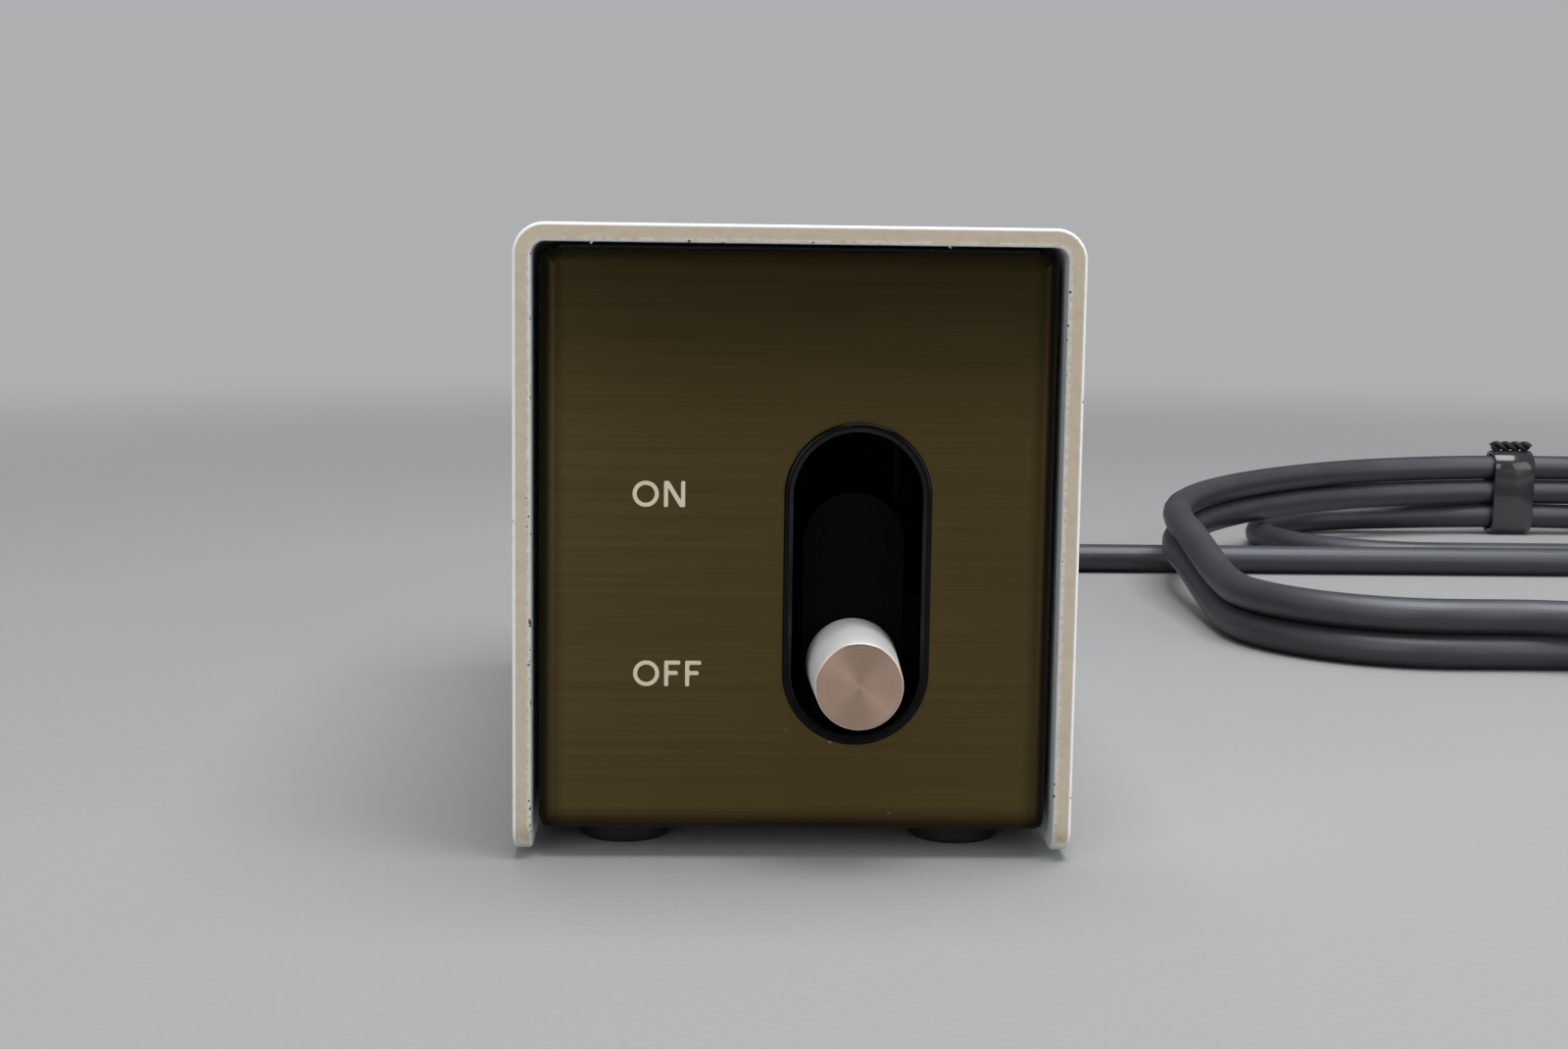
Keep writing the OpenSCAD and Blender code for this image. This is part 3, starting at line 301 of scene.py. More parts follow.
def sheet_depth(finish, x, z):
    """How far a place of the bent sheet lies outside its inner face."""
    bend_x = COVER_HIGH.x - SHEET_T - INNER_BEND_R
    bend_z = COVER_HIGH.z - SHEET_T - INNER_BEND_R
    from_bend = finish.length(finish.past(finish.magnitude(x), bend_x), finish.past(z, bend_z))
    return finish.minus(from_bend, INNER_BEND_R)


def cut_ends(finish, y):
    """1 on the sheet's front and rear ends, fading to 0 just behind them."""
    behind = finish.math("MINIMUM", finish.minus(y, COVER_LOW.y), finish.minus(COVER_HIGH.y, y))
    return finish.ease(behind, *CUT_BAND)


def cover_chips(finish, rim, grain):
    """Small chips along the rims, in clusters."""
    worn = finish.plus(finish.times(rim, 0.12), finish.times(finish.noise(size=0.009), 0.45))
    chip = finish.ease(finish.plus(grain, worn), *CHIP_STEP)
    return finish.times(chip, finish.ease(rim, 0.02, 0.2))


def cut_tone(finish, lump, z):
    """The paint of the cut face: uneven, and grimy at its foot."""
    tone = finish.blend(finish.ease(lump, 0.4, 0.8, 0.1, 0.5), CUT_EDGE, CUT_EDGE_DULL)
    foot = finish.times(finish.ease(z, *FOOT_BAND), finish.ease(lump, 0.35, 0.65, 0.2, 0.8))
    return finish.blend(foot, tone, GRIME)


def cover_finish():
    finish = Finish("cover_enamel", Specular_IOR_Level=0.45)
    x, y, z = finish.axes()
    depth = sheet_depth(finish, x, z)
    cut = cut_ends(finish, y)
    inner_rim = finish.times(cut, finish.ease(depth, *INNER_RIM_BAND))
    outer_rim = finish.times(cut, finish.ease(depth, *RIM_HIGHLIGHT_BAND))
    cut_face = finish.times(cut, finish.ease(depth, *FACE_BAND))
    cloud = finish.noise(size=0.025)
    lump = finish.noise(size=0.0016, detail=4.0)
    grain = finish.noise(size=0.0008, detail=5.0, stretch=(1.4, 1, 1))
    peel = finish.noise(size=0.0009, detail=2.0)
    chip = cover_chips(finish, finish.math("MAXIMUM", inner_rim, finish.times(outer_rim, 0.55)), grain)
    ragged = finish.times(finish.ease(depth, *LIP_BAND), finish.ease(grain, 0.38, 0.62, high=0.5))
    tone = finish.blend(cloud, shade(ENAMEL, 0.93), shade(ENAMEL, 1.05))
    # Painted highlight along the outer rim
    tone = finish.blend(outer_rim, tone, RIM_HIGHLIGHT)
    tone = finish.blend(cut_face, tone, cut_tone(finish, lump, z))
    tone = finish.blend(finish.times(ragged, cut), tone, LIP)
    tone = finish.blend(finish.ease(depth, *PRIMER_BAND), tone, PRIMER)
    finish.colour(finish.blend(chip, tone, CHIP))
    finish.roughness(finish.ease(finish.plus(cloud, chip), 0.3, 1.2, 0.36, 0.58))
    finish.bump((peel, 0.00002), (finish.times(lump, cut), 0.00016), (finish.times(chip, -1.0), 0.0001))
    return finish.material


# Front panel: bronze anodised aluminium, brushed from side to side, with shade painted near its edges

PANEL_LOW, PANEL_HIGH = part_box("front_panel")
BRONZE = srgb(100, 85, 53)
PANEL_DUST = srgb(176, 166, 142)
PANEL_SHADE = srgb(10, 9, 8)
# Painted shade: how the panel darkens near its sides, top and foot: two distances from the edge, and the
# tone's share at each
SIDE_DIM = (0.0006, 0.004, 0.2, 1.0)
TOP_DIM = (0.001, 0.03, 0.42, 1.0)
FOOT_DIM = (0.0005, 0.004, 0.35, 1.0)


def panel_painted_shade(finish):
    """The share of the panel's tone that is left near its edges, where shade is painted."""
    x, _, z = finish.axes()
    sides = finish.ease(finish.minus(PANEL_HIGH.x, finish.magnitude(x)), *SIDE_DIM)
    top = finish.ease(finish.minus(PANEL_HIGH.z, z), *TOP_DIM)
    foot = finish.ease(finish.minus(z, PANEL_LOW.z), *FOOT_DIM)
    return finish.times(finish.times(sides, top), foot)


def panel_finish():
    finish = Finish("bronze_anodised", Metallic=1.0, Anisotropic=0.55)
    finish.brush_round("X")
    hairline = finish.noise(size=0.00009, detail=4.0, stretch=(400, 1, 1))
    band = finish.noise(size=0.0008, detail=2.0, stretch=(160, 1, 1))
    cloud = finish.noise(size=0.03)
    dust = finish.times(finish.specks(pitch=0.0075, size=0.00035), finish.ease(cloud, 0.48, 0.6, high=0.5))
    tone = finish.blend(hairline, shade(BRONZE, 0.72), shade(BRONZE, 1.25))
    tone = finish.blend(finish.ease(band, 0.35, 0.7, high=0.35), tone, shade(BRONZE, 0.75))
    # Painted shade near the panel's sides, top and foot
    tone = finish.blend(panel_painted_shade(finish), PANEL_SHADE, tone)
    finish.colour(finish.blend(dust, tone, PANEL_DUST))
    finish.roughness(finish.ease(finish.plus(hairline, cloud), *SUM_SPAN, 0.36, 0.46))
    finish.bump((hairline, 0.000012))
    return finish.material


# Bead round the slot: gloss black, with a grey highlight painted along its inner lip

BEAD_W = 0.0011
BEAD_BLACK = srgb(4, 4, 4)
BEAD_HIGHLIGHT = srgb(44, 44, 46)
# Where the painted highlight lies: outwards from the bead's inner edge, back from its front, and up from its
# lower end
HIGHLIGHT_START = 0.00038
HIGHLIGHT_FULL = 0.00016
HIGHLIGHT_DEEP = 0.0009
HIGHLIGHT_FRONT = 0.0005
HIGHLIGHT_FOOT = 0.004


def bead_lip_highlight(finish):
    """1 along the front of the bead's inner lip, where a highlight is painted, and faint at its lower end.
    """
    low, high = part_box("escutcheon")
    middle = (low + high) / 2
    radius = (high.x - low.x) / 2
    inner = radius - BEAD_W
    half_straight = (high.z - low.z) / 2 - radius
    x, y, z = finish.axes()
    past_straight = finish.past(finish.magnitude(finish.minus(z, middle.z)), half_straight)
    from_axis = finish.length(finish.minus(x, middle.x), past_straight)
    lip = finish.ease(from_axis, inner + HIGHLIGHT_START, inner + HIGHLIGHT_FULL)
    lip = finish.times(lip, finish.ease(y, low.y + HIGHLIGHT_DEEP, low.y + HIGHLIGHT_FRONT))
    return finish.times(lip, finish.ease(z, low.z + HIGHLIGHT_FOOT, middle.z, low=0.15))


def bead_finish():
    finish = Finish("gloss_black", Specular_IOR_Level=0.14)
    cloud = finish.noise(size=0.012)
    fine = finish.noise(size=0.0004, detail=2.0)
    dust = finish.times(finish.specks(pitch=0.004, size=0.0003), finish.ease(cloud, *DUST_SPAN, high=0.5))
    lip_highlight = finish.times(bead_lip_highlight(finish), finish.ease(cloud, *NOISE_SPAN, low=0.4))
    # Painted highlight along the inner lip
    finish.colour(finish.blend(dust, finish.blend(lip_highlight, BEAD_BLACK, BEAD_HIGHLIGHT), DUST))
    finish.roughness(finish.ease(finish.plus(cloud, fine), *SUM_SPAN, 0.1, 0.24))
    finish.bump((fine, 0.000004))
    return finish.material


# Knob: turned aluminium, with a warm reflection painted on its spun face and a bright sheen painted on its
# side

KNOB_FACE_AND_REFLECTION = (srgb(182, 151, 132), srgb(208, 179, 160))
KNOB_SIDE_AND_SHEEN = (srgb(246, 246, 245), srgb(253, 253, 252))
TURNED_LINE = 0.00025
# From the knob's side, with its painted sheen, to its face, with its painted warm reflection, by the Y of
# the surface's normal
FACE_SPAN = (-0.5, -0.95)


def knob_finish():
    finish = Finish("turned_aluminium", Anisotropic=0.75, Anisotropic_Rotation=0.25)
    finish.brush_round("Y")
    low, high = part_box("knob")
    middle = (low + high) / 2
    x, _, z = finish.axes()
    radius = finish.length(finish.minus(x, middle.x), finish.minus(z, middle.z))
    turned = {"W": finish.math("DIVIDE", radius, TURNED_LINE), "Scale": 1.0, "Detail": 2.0}
    line = finish.node("TexNoise", turned, noise_dimensions="1D").outputs[0]
    face = finish.ease(finish.facing("True Normal", 1), *FACE_SPAN)
    cloud = finish.noise(size=0.004)
    # The aluminium in two tones: a painted warm reflection on the face and a painted bright sheen on the
    # side
    finish.colour(finish.blend(face, finish.blend(cloud, *KNOB_SIDE_AND_SHEEN), finish.blend(line, *KNOB_FACE_AND_REFLECTION)))
    finish.feed("Metallic", finish.ease(face, 0.0, 1.0, low=0.2))
    side_rough = finish.ease(cloud, *NOISE_SPAN, 0.4, 0.5)
    face_rough = finish.ease(line, *NOISE_SPAN, 0.28, 0.34)
    finish.roughness(finish.blend(face, side_rough, face_rough))
    return finish.material


# Chassis: zinc plated sheet, with shade painted black where it backs the front panel

ZINC = srgb(196, 197, 200)
FLANGE_SHADE = srgb(12, 12, 12)
PLATED_BAND = (PANEL_HIGH.y + 0.0016, PANEL_HIGH.y + 0.0024)


def chassis_finish():
    finish = Finish("zinc_sheet")
    tone = brushed(finish, ZINC, along=(12, 1, 1), rough=(0.32, 0.5))
    plated = finish.ease(finish.axes()[1], *PLATED_BAND)
    # Painted shade: black on the part that backs the front panel
    finish.colour(finish.blend(plated, FLANGE_SHADE, tone))
    finish.feed("Metallic", plated)
    return finish.material


# Lead: a satin jacket with fine lines along it and a grey highlight painted on its upper side

JACKET = (srgb(8, 8, 9), srgb(13, 13, 14))
JACKET_LINES = (4.0, 70.0, 1.0)
TOP_HIGHLIGHT = srgb(66, 68, 73)
# From the bare jacket to the painted highlight, by the Z of the surface's normal
TOP_HIGHLIGHT_SPAN = (-0.15, 0.55)


def cord_finish():
    # Reflections tinted blue: a painted colour of the light
    finish = Finish("cord_jacket", IOR=1.65, Specular_IOR_Level=0.75, Specular_Tint=srgb(236, 242, 250))
    round_it = finish.node("TexCoord").outputs["UV"]
    lines = finish.node("Mapping", {"Vector": round_it, "Scale": JACKET_LINES}).outputs[0]
    ridge = finish.node("TexNoise", {"Vector": lines, "Scale": 1.0, "Detail": 2.0}).outputs[0]
    cloud = finish.noise(size=0.02)
    upper = finish.ease(finish.facing("Normal", 2), *TOP_HIGHLIGHT_SPAN)
    top_highlight = finish.times(upper, finish.ease(cloud, *NOISE_SPAN, low=0.75))
    # Painted highlight on the upper side
    finish.colour(finish.blend(top_highlight, finish.blend(cloud, *JACKET), TOP_HIGHLIGHT))
    finish.roughness(finish.ease(finish.plus(ridge, cloud), *SUM_SPAN, 0.4, 0.5))
    finish.bump((ridge, 0.00008))
    return finish.material


def finishes():
    """The finish of every material slot of the record, and a near-black one for the contacts in the slot, as
    painted shade.
    """
    return {
        "cover_paint": cover_finish(),
        "panel_bronze": panel_finish(),
        "knob_aluminium": knob_finish(),
        "chassis_steel": chassis_finish(),
        "rear_paint": painted("black_enamel", srgb(30, 30, 31), rough=0.42, peel=0.0006, depth=0.00004),
        "steel_screw": sheet_metal("plated_screw", srgb(205, 204, 202), rough=0.28, along=(1, 1, 1)),
        "black_screw": painted("black_oxide", srgb(34, 34, 35), rough=0.36, peel=0.0004, depth=0.00002),
        "escutcheon_plastic": bead_finish(),
        # Painted shade: the steel parts, the laminate and the contacts seen through the slot are near black,
        # so that it stays dark inside
        "shaft_steel": sheet_metal("shaded_steel", srgb(15, 15, 14), rough=0.5, along=(1, 1, 12)),
        "shutter_plastic": moulded("matt_black", srgb(3, 3, 3), rough=0.5, Specular_IOR_Level=0.06),
        "phenolic": layered("paper_laminate", srgb(6, 5, 5), srgb(3, 3, 3), step=0.0004, axis="Y", rough=0.6,
                            Specular_IOR_Level=0.1),
        "contact_brass": sheet_metal("contact_metal", srgb(222, 190, 118), rough=0.25, along=(1, 1, 8)),
        "shaded_contact": sheet_metal("shaded_contact", srgb(30, 28, 25), rough=0.6, along=(1, 1, 1)),
        "jack_metal": sheet_metal("nickel", srgb(214, 208, 198), rough=0.2, along=(1, 8, 1)),
        "bush_rubber": moulded("bush_black", srgb(28, 28, 29), rough=0.55),
        "wire_red": moulded("red_wire", srgb(168, 40, 34), rough=0.42),
        "wire_blue": moulded("blue_wire", srgb(48, 82, 150), rough=0.42),
        "cord_rubber": cord_finish(),
        "tie_plastic": moulded("tie_strip", srgb(50, 51, 53), rough=0.2, Coat_Weight=0.8),
        "foot_rubber": moulded("foot_black", srgb(24, 24, 24), rough=0.65),
        "can_shield": sheet_metal("drawn_shield", srgb(188, 188, 190), rough=0.34, along=(1, 1, 12)),
        "core_iron": layered("laminations", srgb(120, 122, 126), srgb(60, 60, 62), step=0.0005, axis="Y",
                             rough=0.5, Metallic=0.7),
        "bobbin_plastic": moulded("bobbin_cream", srgb(220, 212, 184), rough=0.45),
        "winding_copper": layered("copper_turns", srgb(200, 124, 70), srgb(110, 58, 30), step=0.0003,
                                  axis="Z", rough=0.35, Metallic=0.8),
        "jack_white": moulded("white_ring", srgb(222, 220, 212), rough=0.35),
        "jack_red": moulded("red_ring", srgb(150, 28, 26), rough=0.35),
        "plug_cover": moulded("plug_black", srgb(40, 40, 42), rough=0.4),
    }


finish_of = finishes()

# Pieces

LATHE_SIDES = 48
TINY = 1e-6


def add_piece(name, data, slot, stands_for):
    """A new piece on the housing, in the place of the nodes that it stands for."""
    data.materials.append(finish_of[slot])
    piece = bpy.data.objects.new(name, data)
    scene.collection.objects.link(piece)
    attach(piece, "housing")
    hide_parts(*stands_for)
    return piece


def mesh_of(name, bm):
    mesh = bpy.data.meshes.new(name)
    bm.to_mesh(mesh)
    bm.free()
    return mesh


def smooth(mesh, angle=35):
    mesh.shade_smooth()
    mesh.set_sharp_from_angle(angle=math.radians(angle))
    return mesh


def cross_axes(way):
    """Two unit vectors square to way, the first one level."""
    left = Vector((0, 0, 1)).cross(way)
    if left.length < TINY:
        left = Vector((1, 0, 0))
    left.normalize()
    return left, way.cross(left)


def ring(bm, middle, way, radius, sides):
    """A circle of points round middle, square to way, or one point where the radius is 0."""
    if radius == 0:
        return [bm.verts.new(middle)]
    left, up = cross_axes(way)
    angles = [2 * math.pi * k / sides for k in range(sides)]
    return [bm.verts.new(middle + radius * (math.cos(a) * left + math.sin(a) * up)) for a in angles]


def bridge(bm, first, second):
    """Faces between two closed rings, of which one may be a point."""
    for k in range(max(len(first), len(second))):
        corners = [first[k % len(first)], first[(k + 1) % len(first)]]
        corners += [second[(k + 1) % len(second)], second[k % len(second)]]
        bm.faces.new(list(dict.fromkeys(corners)))


def lathe(name, profile, start, way):
    """A body of revolution: profile holds (distance along way, radius), and a radius of 0 closes an end."""
    bm = bmesh.new()
    rings = [ring(bm, start + along * way, way, radius, LATHE_SIDES) for along, radius in profile]
    for first, second in zip(rings, rings[1:]):
        bridge(bm, first, second)
    bmesh.ops.recalc_face_normals(bm, faces=bm.faces)
    return smooth(mesh_of(name, bm))


# Output lead: the route of the solids, counted from the mouth of the bush

CORD_D = 0.007
CORD_R = CORD_D / 2
CORD_SWELL = 0.00015
BUSH_LOW, BUSH_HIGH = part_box("cable_bush")
BUSH_Z = (BUSH_LOW.z + BUSH_HIGH.z) / 2
EXIT = Vector(((BUSH_LOW.x + BUSH_HIGH.x) / 2, BUSH_HIGH.y, 0))
LEAD_STEPS = 5
LEAD_RUN_Y = 0.106
LEAD_RUN_START = 0.048
LEAD_RUN_STEP = 0.020
LEAD_RUN_POINTS = 9
LEAD_RUN_END = 0.225
LEAD_POINTS = [
    (0, 0, 0.024), (0, 0.010, 0.024), (0, 0.021, 0.022), (0, 0.033, 0.016), (0, 0.045, 0.0085),
    (0, 0.057, CORD_R), (0.002, 0.070, CORD_R), (0.008, 0.084, CORD_R), (0.018, 0.096, CORD_R),
    (0.032, 0.103, CORD_R),
]
LEAD_POINTS += [(LEAD_RUN_START + LEAD_RUN_STEP * k, LEAD_RUN_Y, CORD_R) for k in range(LEAD_RUN_POINTS)]
LEAD_POINTS += [(LEAD_RUN_END - CORD_D, LEAD_RUN_Y, CORD_R)]

# Coil: half loops, each with its widest place and its front end, run to the rear and back by turns
COIL_STEPS = 64
COIL_REAR = (0.235, 0.192)
SMALL_FRONT = (0.225, 0.116)
LARGE_FRONT = (0.126, -0.026)
LARGE_LEFT = (0.0885, 0.060)
COIL_HALVES = [
    ((0.275, 0.149), (LEAD_RUN_END, LEAD_RUN_Y)),
    ((0.130, 0.154), SMALL_FRONT),
    ((0.265, 0.154), SMALL_FRONT),
    (LARGE_LEFT, LARGE_FRONT),
    ((0.296, 0.080), LARGE_FRONT),
    (LARGE_LEFT, LARGE_FRONT),
]
# Climbs: the half loop where each starts, its length in half loops, and its layers
LAYER = CORD_D + 2 * CORD_SWELL
COIL_CLIMBS = [(2.2, 0.55, 1), (3.42, 0.3, -1), (4.25, 0.63, 2), (5.42, 0.3, -1)]

# The coil's end, which swings out and comes down to the floor
END_STEPS = 16
END_RUN = 0.056
END_OUT = 0.010
END_LIFT = 0.0014
END_SWING_START = 0.2
END_DROP_START = 0.45
END_CHORD_START = 0.75

# The tie: the half loops that run through it, close to the rear, and how they rise over its lower strip
TIE_HALVES = (1, 3, 5)
TIE_BACK = 0.021
TIE_T = 0.001
TIE_GAP = 0.0008
TIE_CLEAR = 0.0001
TIE_LIFT = TIE_T + TIE_GAP + TIE_CLEAR
TIE_HALF = 0.35


def ease(u):
    v = max(0, min(1, u))
    return v * v * (3 - 2 * v)


def hump(u):
    return 0 if abs(u) >= 1 else math.cos(math.pi / 2 * u) ** 2


def quarter(end, wide):
    """A quarter loop's run along X before its bend, the bend's radius, and its whole length."""
    dx = abs(wide[0] - end[0])
    dy = abs(wide[1] - end[1])
    radius = min(dx, dy)
    return dx - radius, radius, dx + dy - 2 * radius + radius * math.pi / 2


def tie_at(k):
    """Where half loop k runs through the tie, in half loops from the coil's start."""
    _, _, length = quarter(COIL_REAR, COIL_HALVES[k][0])
    return k + 0.5 * TIE_BACK / length


TIE_AT = [tie_at(k) for k in TIE_HALVES]


def quarter_place(end, wide, u):
    """A place on a quarter loop, with u from 0 at its end to 1 at the widest place."""
    before, radius, length = quarter(end, wide)
    gone = u * length
    bent = max(0, min(radius * math.pi / 2, gone - before))
    after = max(0, gone - before - bent)
    angle = bent / radius
    x = end[0] + math.copysign(min(gone, before) + radius * math.sin(angle), wide[0] - end[0])
    y = end[1] + math.copysign(radius * (1 - math.cos(angle)) + after, wide[1] - end[1])
    return x, y


def coil_level(t):
    climbed = sum(layers * ease((t - start) / length) for start, length, layers in COIL_CLIMBS)
    return CORD_R + LAYER * climbed + TIE_LIFT * max(hump((t - at) / TIE_HALF) for at in TIE_AT)


def coil_place(t):
    """A place on the coil, with t counted in half loops."""
    k = min(math.floor(t), len(COIL_HALVES) - 1)
    share = t - k
    wide, front = COIL_HALVES[k]
    first = share < 0.5
    end = front if (k % 2 == 0) == first else COIL_REAR
    x, y = quarter_place(end, wide, 2 * share if first else 2 - 2 * share)
    return Vector((x, y, coil_level(t)))


def end_place(u):
    """A place on the coil's end, with u from 0 to 1."""
    out = ease((u - END_SWING_START) / (1 - END_SWING_START))
    down = ease((u - END_DROP_START) / (1 - END_DROP_START))
    height = CORD_R + LAYER * (1 - down) + END_LIFT * down
    return Vector((LARGE_FRONT[0] + END_RUN * u, LARGE_FRONT[1] - END_OUT * out, height))


def through(points, steps):
    """A smooth line through points, steps to each stretch, without its last point."""
    p = [Vector(q) for q in points]
    p = [2 * p[0] - p[1], *p, 2 * p[-1] - p[-2]]
    line = []
    for a, b, c, d in zip(p, p[1:], p[2:], p[3:]):
        for k in range(steps):
            u = k / steps
            line.append(0.5 * (2 * b + (c - a) * u + (2 * a - 5 * b + 4 * c - d) * u ** 2
                               + (3 * b - a - 3 * c + d) * u ** 3))
    return line


def curve_of(name, line, radius):
    data = bpy.data.curves.new(name, "CURVE")
    data.dimensions = "3D"
    data.bevel_depth = radius
    data.bevel_resolution = 5
    data.use_fill_caps = True
    spline = data.splines.new("POLY")
    spline.points.add(len(line) - 1)
    for point, place in zip(spline.points, line):
        point.co = (*place, 1)
    spline.use_smooth = True
    return data


end_chord = end_place(1) - end_place(END_CHORD_START)
END_WAY = Vector((end_chord.x, end_chord.y, 0)).normalized()
SIDE_WAY = Vector((-END_WAY.y, END_WAY.x, 0))


def jacket_route():
    """The jacket's middle line, from the bush to the split, with all of it above the floor."""
    line = through(LEAD_POINTS, LEAD_STEPS)
    line += [coil_place(k / COIL_STEPS) for k in range(COIL_STEPS * len(COIL_HALVES))]
    line += [end_place(k / END_STEPS) for k in range(END_STEPS + 1)]
    line.append(line[-1] + CORD_D * END_WAY)
    return [EXIT + Vector((p.x, p.y, max(p.z, CORD_R) + CORD_SWELL)) for p in line]


jacket_line = jacket_route()
JACKET_END = jacket_line[-1]
lead = add_piece("output_cable", curve_of("output_cable", jacket_line, CORD_R + CORD_SWELL), "cord_rubber",
                 stands_for=["output_lead", "output_coil"])


# Bush, split sleeve and plugs: turned forms on the lead

def ribbed(start, end, first_r, last_r, ribs, depth):
    """A taper with round grooves: points of a profile."""
    steps = 8 * ribs
    points = []
    for k in range(steps + 1):
        u = k / steps
        groove = depth * (0.5 - 0.5 * math.cos(2 * math.pi * ribs * u)) ** 2
        points.append((start + (end - start) * u, first_r + (last_r - first_r) * u - groove))
    return points


REAR_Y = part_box("rear_panel")[1].y
BUSH_FLANGE_T = 0.002
BUSH_FLANGE_R = (BUSH_HIGH.x - BUSH_LOW.x) / 2
BUSH_STEM_R = 0.0045
BUSH_ROOT_R = 0.00575
BUSH_TIP_R = 0.0046
BUSH_RIBS = 5
BUSH_RIB_DEPTH = 0.0009
BUSH_RIB_END = 0.003
BUSH_RIB_ROOT_R = BUSH_ROOT_R - 0.0002
BUSH_RIB_TIP_R = BUSH_TIP_R + 0.0001
ROUND = 0.0006
ROUND_MIDDLE = 0.3 * ROUND


def make_bush():
    start = Vector((EXIT.x, BUSH_LOW.y, BUSH_Z))
    flange = REAR_Y - BUSH_LOW.y
    length = BUSH_HIGH.y - BUSH_LOW.y
    face = flange + BUSH_FLANGE_T
    profile = [(0, 0), (0, BUSH_STEM_R), (flange, BUSH_STEM_R), (flange, BUSH_FLANGE_R)]
    profile += [(face - ROUND, BUSH_FLANGE_R), (face - ROUND_MIDDLE, BUSH_FLANGE_R - ROUND_MIDDLE)]
    profile += [(face, BUSH_FLANGE_R - ROUND), (face, BUSH_ROOT_R + ROUND), (face + ROUND, BUSH_ROOT_R)]
    profile += ribbed(face + BUSH_RIB_END, length - BUSH_RIB_END, BUSH_RIB_ROOT_R, BUSH_RIB_TIP_R,
                      BUSH_RIBS, BUSH_RIB_DEPTH)
    profile += [(length - ROUND, BUSH_TIP_R), (length, BUSH_TIP_R - ROUND), (length, 0)]
    mesh = lathe("cable_gland", profile, start, Vector((0, 1, 0)))
    return add_piece("cable_gland", mesh, "bush_rubber", stands_for=["cable_bush"])


# Softened corners of moulded ends: how far in, and how far along
SOFT_IN = 0.0003
SOFT_ALONG = 0.0004
SLEEVE_LEN = 0.018
SLEEVE_START_R = (CORD_D + 0.001) / 2
SLEEVE_R = (CORD_D + 0.0024) / 2
# The sleeve's round nose: how far back from its end, and how far in from its side
SLEEVE_NOSE = ((0.0012, 0.0), (0.0003, 0.0005), (0.0, 0.0014))
PLUG_D = 0.011
PLUG_R = PLUG_D / 2
PLUG_Z = PLUG_R + 0.0001
PLUG_SIDE = PLUG_R + 0.0011
PLUG_STEP = 0.0006
TAIL_D = 0.0038
TAIL_STEPS = 6
TAIL_SIDE = TAIL_D / 2 + 0.0003
TAIL_Z = CORD_R + END_LIFT
BOOT_START = 0.066
BOOT_TIP_R = TAIL_D / 2 + 0.001
BOOT_RIBS = 4
BOOT_RIB_DEPTH = 0.0007
BOOT_RIB_END = 0.001
SHELL_START = BOOT_START + 0.012
SHELL_END = SHELL_START + 0.026
SHELL_NOSE = 0.0008
GRIP_START = SHELL_START + 0.004
GRIP_END = SHELL_START + 0.014
GRIP_RIBS = 7
GRIP_RIB_DEPTH = 0.0004
RING_SEAT = 0.004
RING_R = 0.0047
# Tails: the way past the jacket's end, to the side and above the floor
TAIL_POINTS = [
    (SLEEVE_LEN, TAIL_SIDE, TAIL_Z),
    (SLEEVE_LEN + 0.006, TAIL_SIDE, TAIL_Z),
    (SLEEVE_LEN + 0.014, TAIL_SIDE + 0.0006, TAIL_Z),
    (SLEEVE_LEN + 0.022, TAIL_SIDE + 0.0016, TAIL_Z + 0.0002),
    (SLEEVE_LEN + 0.030, TAIL_SIDE + 0.003, TAIL_Z + 0.0004),
    (BOOT_START - 0.010, PLUG_SIDE - 0.0006, PLUG_Z),
    (BOOT_START - 0.005, PLUG_SIDE, PLUG_Z),
    (BOOT_START, PLUG_SIDE, PLUG_Z),
]


def past_jacket(along, side, height):
    """A place beyond the jacket's end: along the lead, to its left, and above the floor."""
    place = JACKET_END + along * END_WAY + side * SIDE_WAY
    place.z = height
    return place


def make_sleeve():
    profile = [(0, 0), (0, SLEEVE_START_R - SOFT_IN), (SOFT_ALONG, SLEEVE_START_R)]
    profile += [(SLEEVE_LEN - back, SLEEVE_R - inwards) for back, inwards in SLEEVE_NOSE]
    profile += [(SLEEVE_LEN, 0)]
    mesh = lathe("cable_split", profile, JACKET_END, END_WAY)
    return add_piece("cable_split", mesh, "bush_rubber", stands_for=["split_sleeve"])


def make_plug(hand, sign):
    """A moulded plug with a ribbed boot and a grip, on its tail."""
    start = past_jacket(0, sign * PLUG_SIDE, PLUG_Z)
    seat = SHELL_END - RING_SEAT
    root_r = PLUG_R - PLUG_STEP
    profile = [(BOOT_START, 0), (BOOT_START, BOOT_TIP_R - SOFT_IN), (BOOT_START + SOFT_IN, BOOT_TIP_R)]
    profile += ribbed(BOOT_START + BOOT_RIB_END, SHELL_START - BOOT_RIB_END, BOOT_TIP_R, root_r,
                      BOOT_RIBS, BOOT_RIB_DEPTH)
    profile += [(SHELL_START - SOFT_IN, root_r), (SHELL_START + SOFT_ALONG, PLUG_R)]
    profile += ribbed(GRIP_START, GRIP_END, PLUG_R, PLUG_R, GRIP_RIBS, GRIP_RIB_DEPTH)
    profile += [(SHELL_END - SHELL_NOSE, PLUG_R), (SHELL_END, root_r), (SHELL_END, RING_R)]
    profile += [(seat, RING_R), (seat, 0)]
    mesh = lathe("plug_body_" + hand, profile, start, END_WAY)
    return add_piece("plug_body_" + hand, mesh, "plug_cover", stands_for=["plug_shell_" + hand])


def make_tail(hand, sign):
    body = make_plug(hand, sign)
    line = through([past_jacket(a, sign * s, z) for a, s, z in TAIL_POINTS], TAIL_STEPS)
    line.append(past_jacket(BOOT_START, sign * PLUG_SIDE, PLUG_Z))
    name = "cable_tail_" + hand
    tail = add_piece(name, curve_of(name, line, TAIL_D / 2), "cord_rubber", stands_for=["tail_" + hand])


